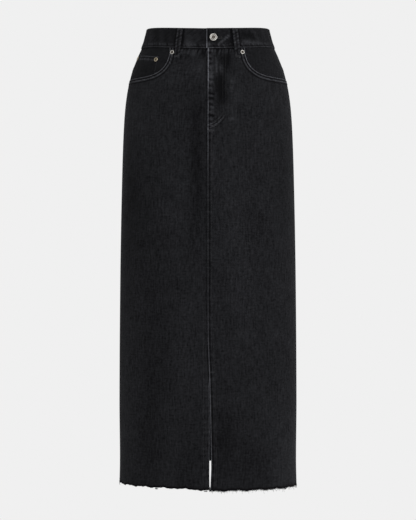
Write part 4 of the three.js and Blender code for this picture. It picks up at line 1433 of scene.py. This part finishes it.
for side, name in SIDES:
    turn = float(angle_at(side * MOUTH_RIVET_X + MIDDLE, MOUTH_RIVET_LEVEL))
    rivet = turned_on_cloth(f"pocket_rivet_{name}_turned", RIVET_SECTION, turn, MOUTH_RIVET_LEVEL,
                            MOUTH_RIVET_OUT, RIVET_SIDES, nickel)
    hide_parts(f"pocket_rivet_{name}")

brass = worn_metal("antique_brass", (0.60, 0.52, 0.38), (0.08, 0.06, 0.04))
for name, share, inward in (("inner", COIN_SHARES[0], 1), ("outer", COIN_SHARES[1], -1)):
    corner = float(mouth(RIGHT, share)[0])
    level = float(coin_top(corner)) - COIN_RIVET_BELOW
    turn = corner - inward * COIN_RIVET_INSET * turn_per_mm(corner, level)
    rivet = turned_on_cloth(f"coin_rivet_{name}_turned", RIVET_SECTION, turn, level, COIN_OUT,
                            RIVET_SIDES, brass)
    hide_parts(f"coin_rivet_{name}")


# Studio
# A pale even floor and backdrop with soft light from all round and a little more from the
# front, and the camera level with mid-thigh, three metres away.
PALE = (0.871, 0.871, 0.871, 1)
AROUND = 0.62
FLOOR_LEVEL = -1.02
FLOOR_HALF = 30.0
EYE = (0, -3.11, -0.4676)
EYE_LENS, EYE_SENSOR = 98.9, 36


def plain_floor():
    mesh = bpy.data.meshes.new("floor")
    signs = ((-1, -1), (1, -1), (1, 1), (-1, 1))
    corners = [(x * FLOOR_HALF, y * FLOOR_HALF, FLOOR_LEVEL) for x, y in signs]
    mesh.from_pydata(corners, [], [(0, 1, 2, 3)])
    material = new_material("pale_floor", Base_Color=(0, 0, 0, 1), Specular_IOR_Level=0,
                            Emission_Color=PALE, Emission_Strength=1)[0]
    mesh.materials.append(material)
    floor = in_scene("floor", mesh)
    floor.visible_diffuse = False
    floor.visible_glossy = False


def soft_light(name, place, aim, size, power):
    """A square area light that faces a point."""
    light = bpy.data.lights.new(name, "AREA")
    light.shape = "SQUARE"
    light.size = size
    light.energy = power
    lamp = in_scene(name, light)
    lamp.location = place
    lamp.rotation_euler = (Vector(aim) - Vector(place)).to_track_quat("-Z", "Y").to_euler()


def pale_world():
    """The backdrop shows at full strength, and lights the cloth more softly."""
    world = bpy.data.worlds.new("studio")
    world.use_nodes = True
    tree = world.node_tree
    seen = add_node(tree, "ShaderNodeLightPath", {}).outputs["Is Camera Ray"]
    strength = calc(tree, "MULTIPLY_ADD", seen, 1 - AROUND, AROUND)
    backdrop = tree.nodes["Background"]
    backdrop.inputs["Color"].default_value = PALE
    tree.links.new(strength, backdrop.inputs["Strength"])
    bpy.context.scene.world = world


plain_floor()
pale_world()
soft_light("front_light", (1.2, -2.6, 0.7), (0, 0, -0.4), 1.6, 26)
soft_light("side_light", (2.6, -0.4, 0.1), (0, 0, -0.5), 1.6, 12)

camera = bpy.data.cameras.new("camera")
camera.sensor_width = EYE_SENSOR
camera.lens = EYE_LENS
eye = in_scene("camera", camera)
eye.location = EYE
eye.rotation_euler = (math.pi / 2, 0, 0)
bpy.context.scene.camera = eye
bpy.context.scene.view_settings.view_transform = "Standard"
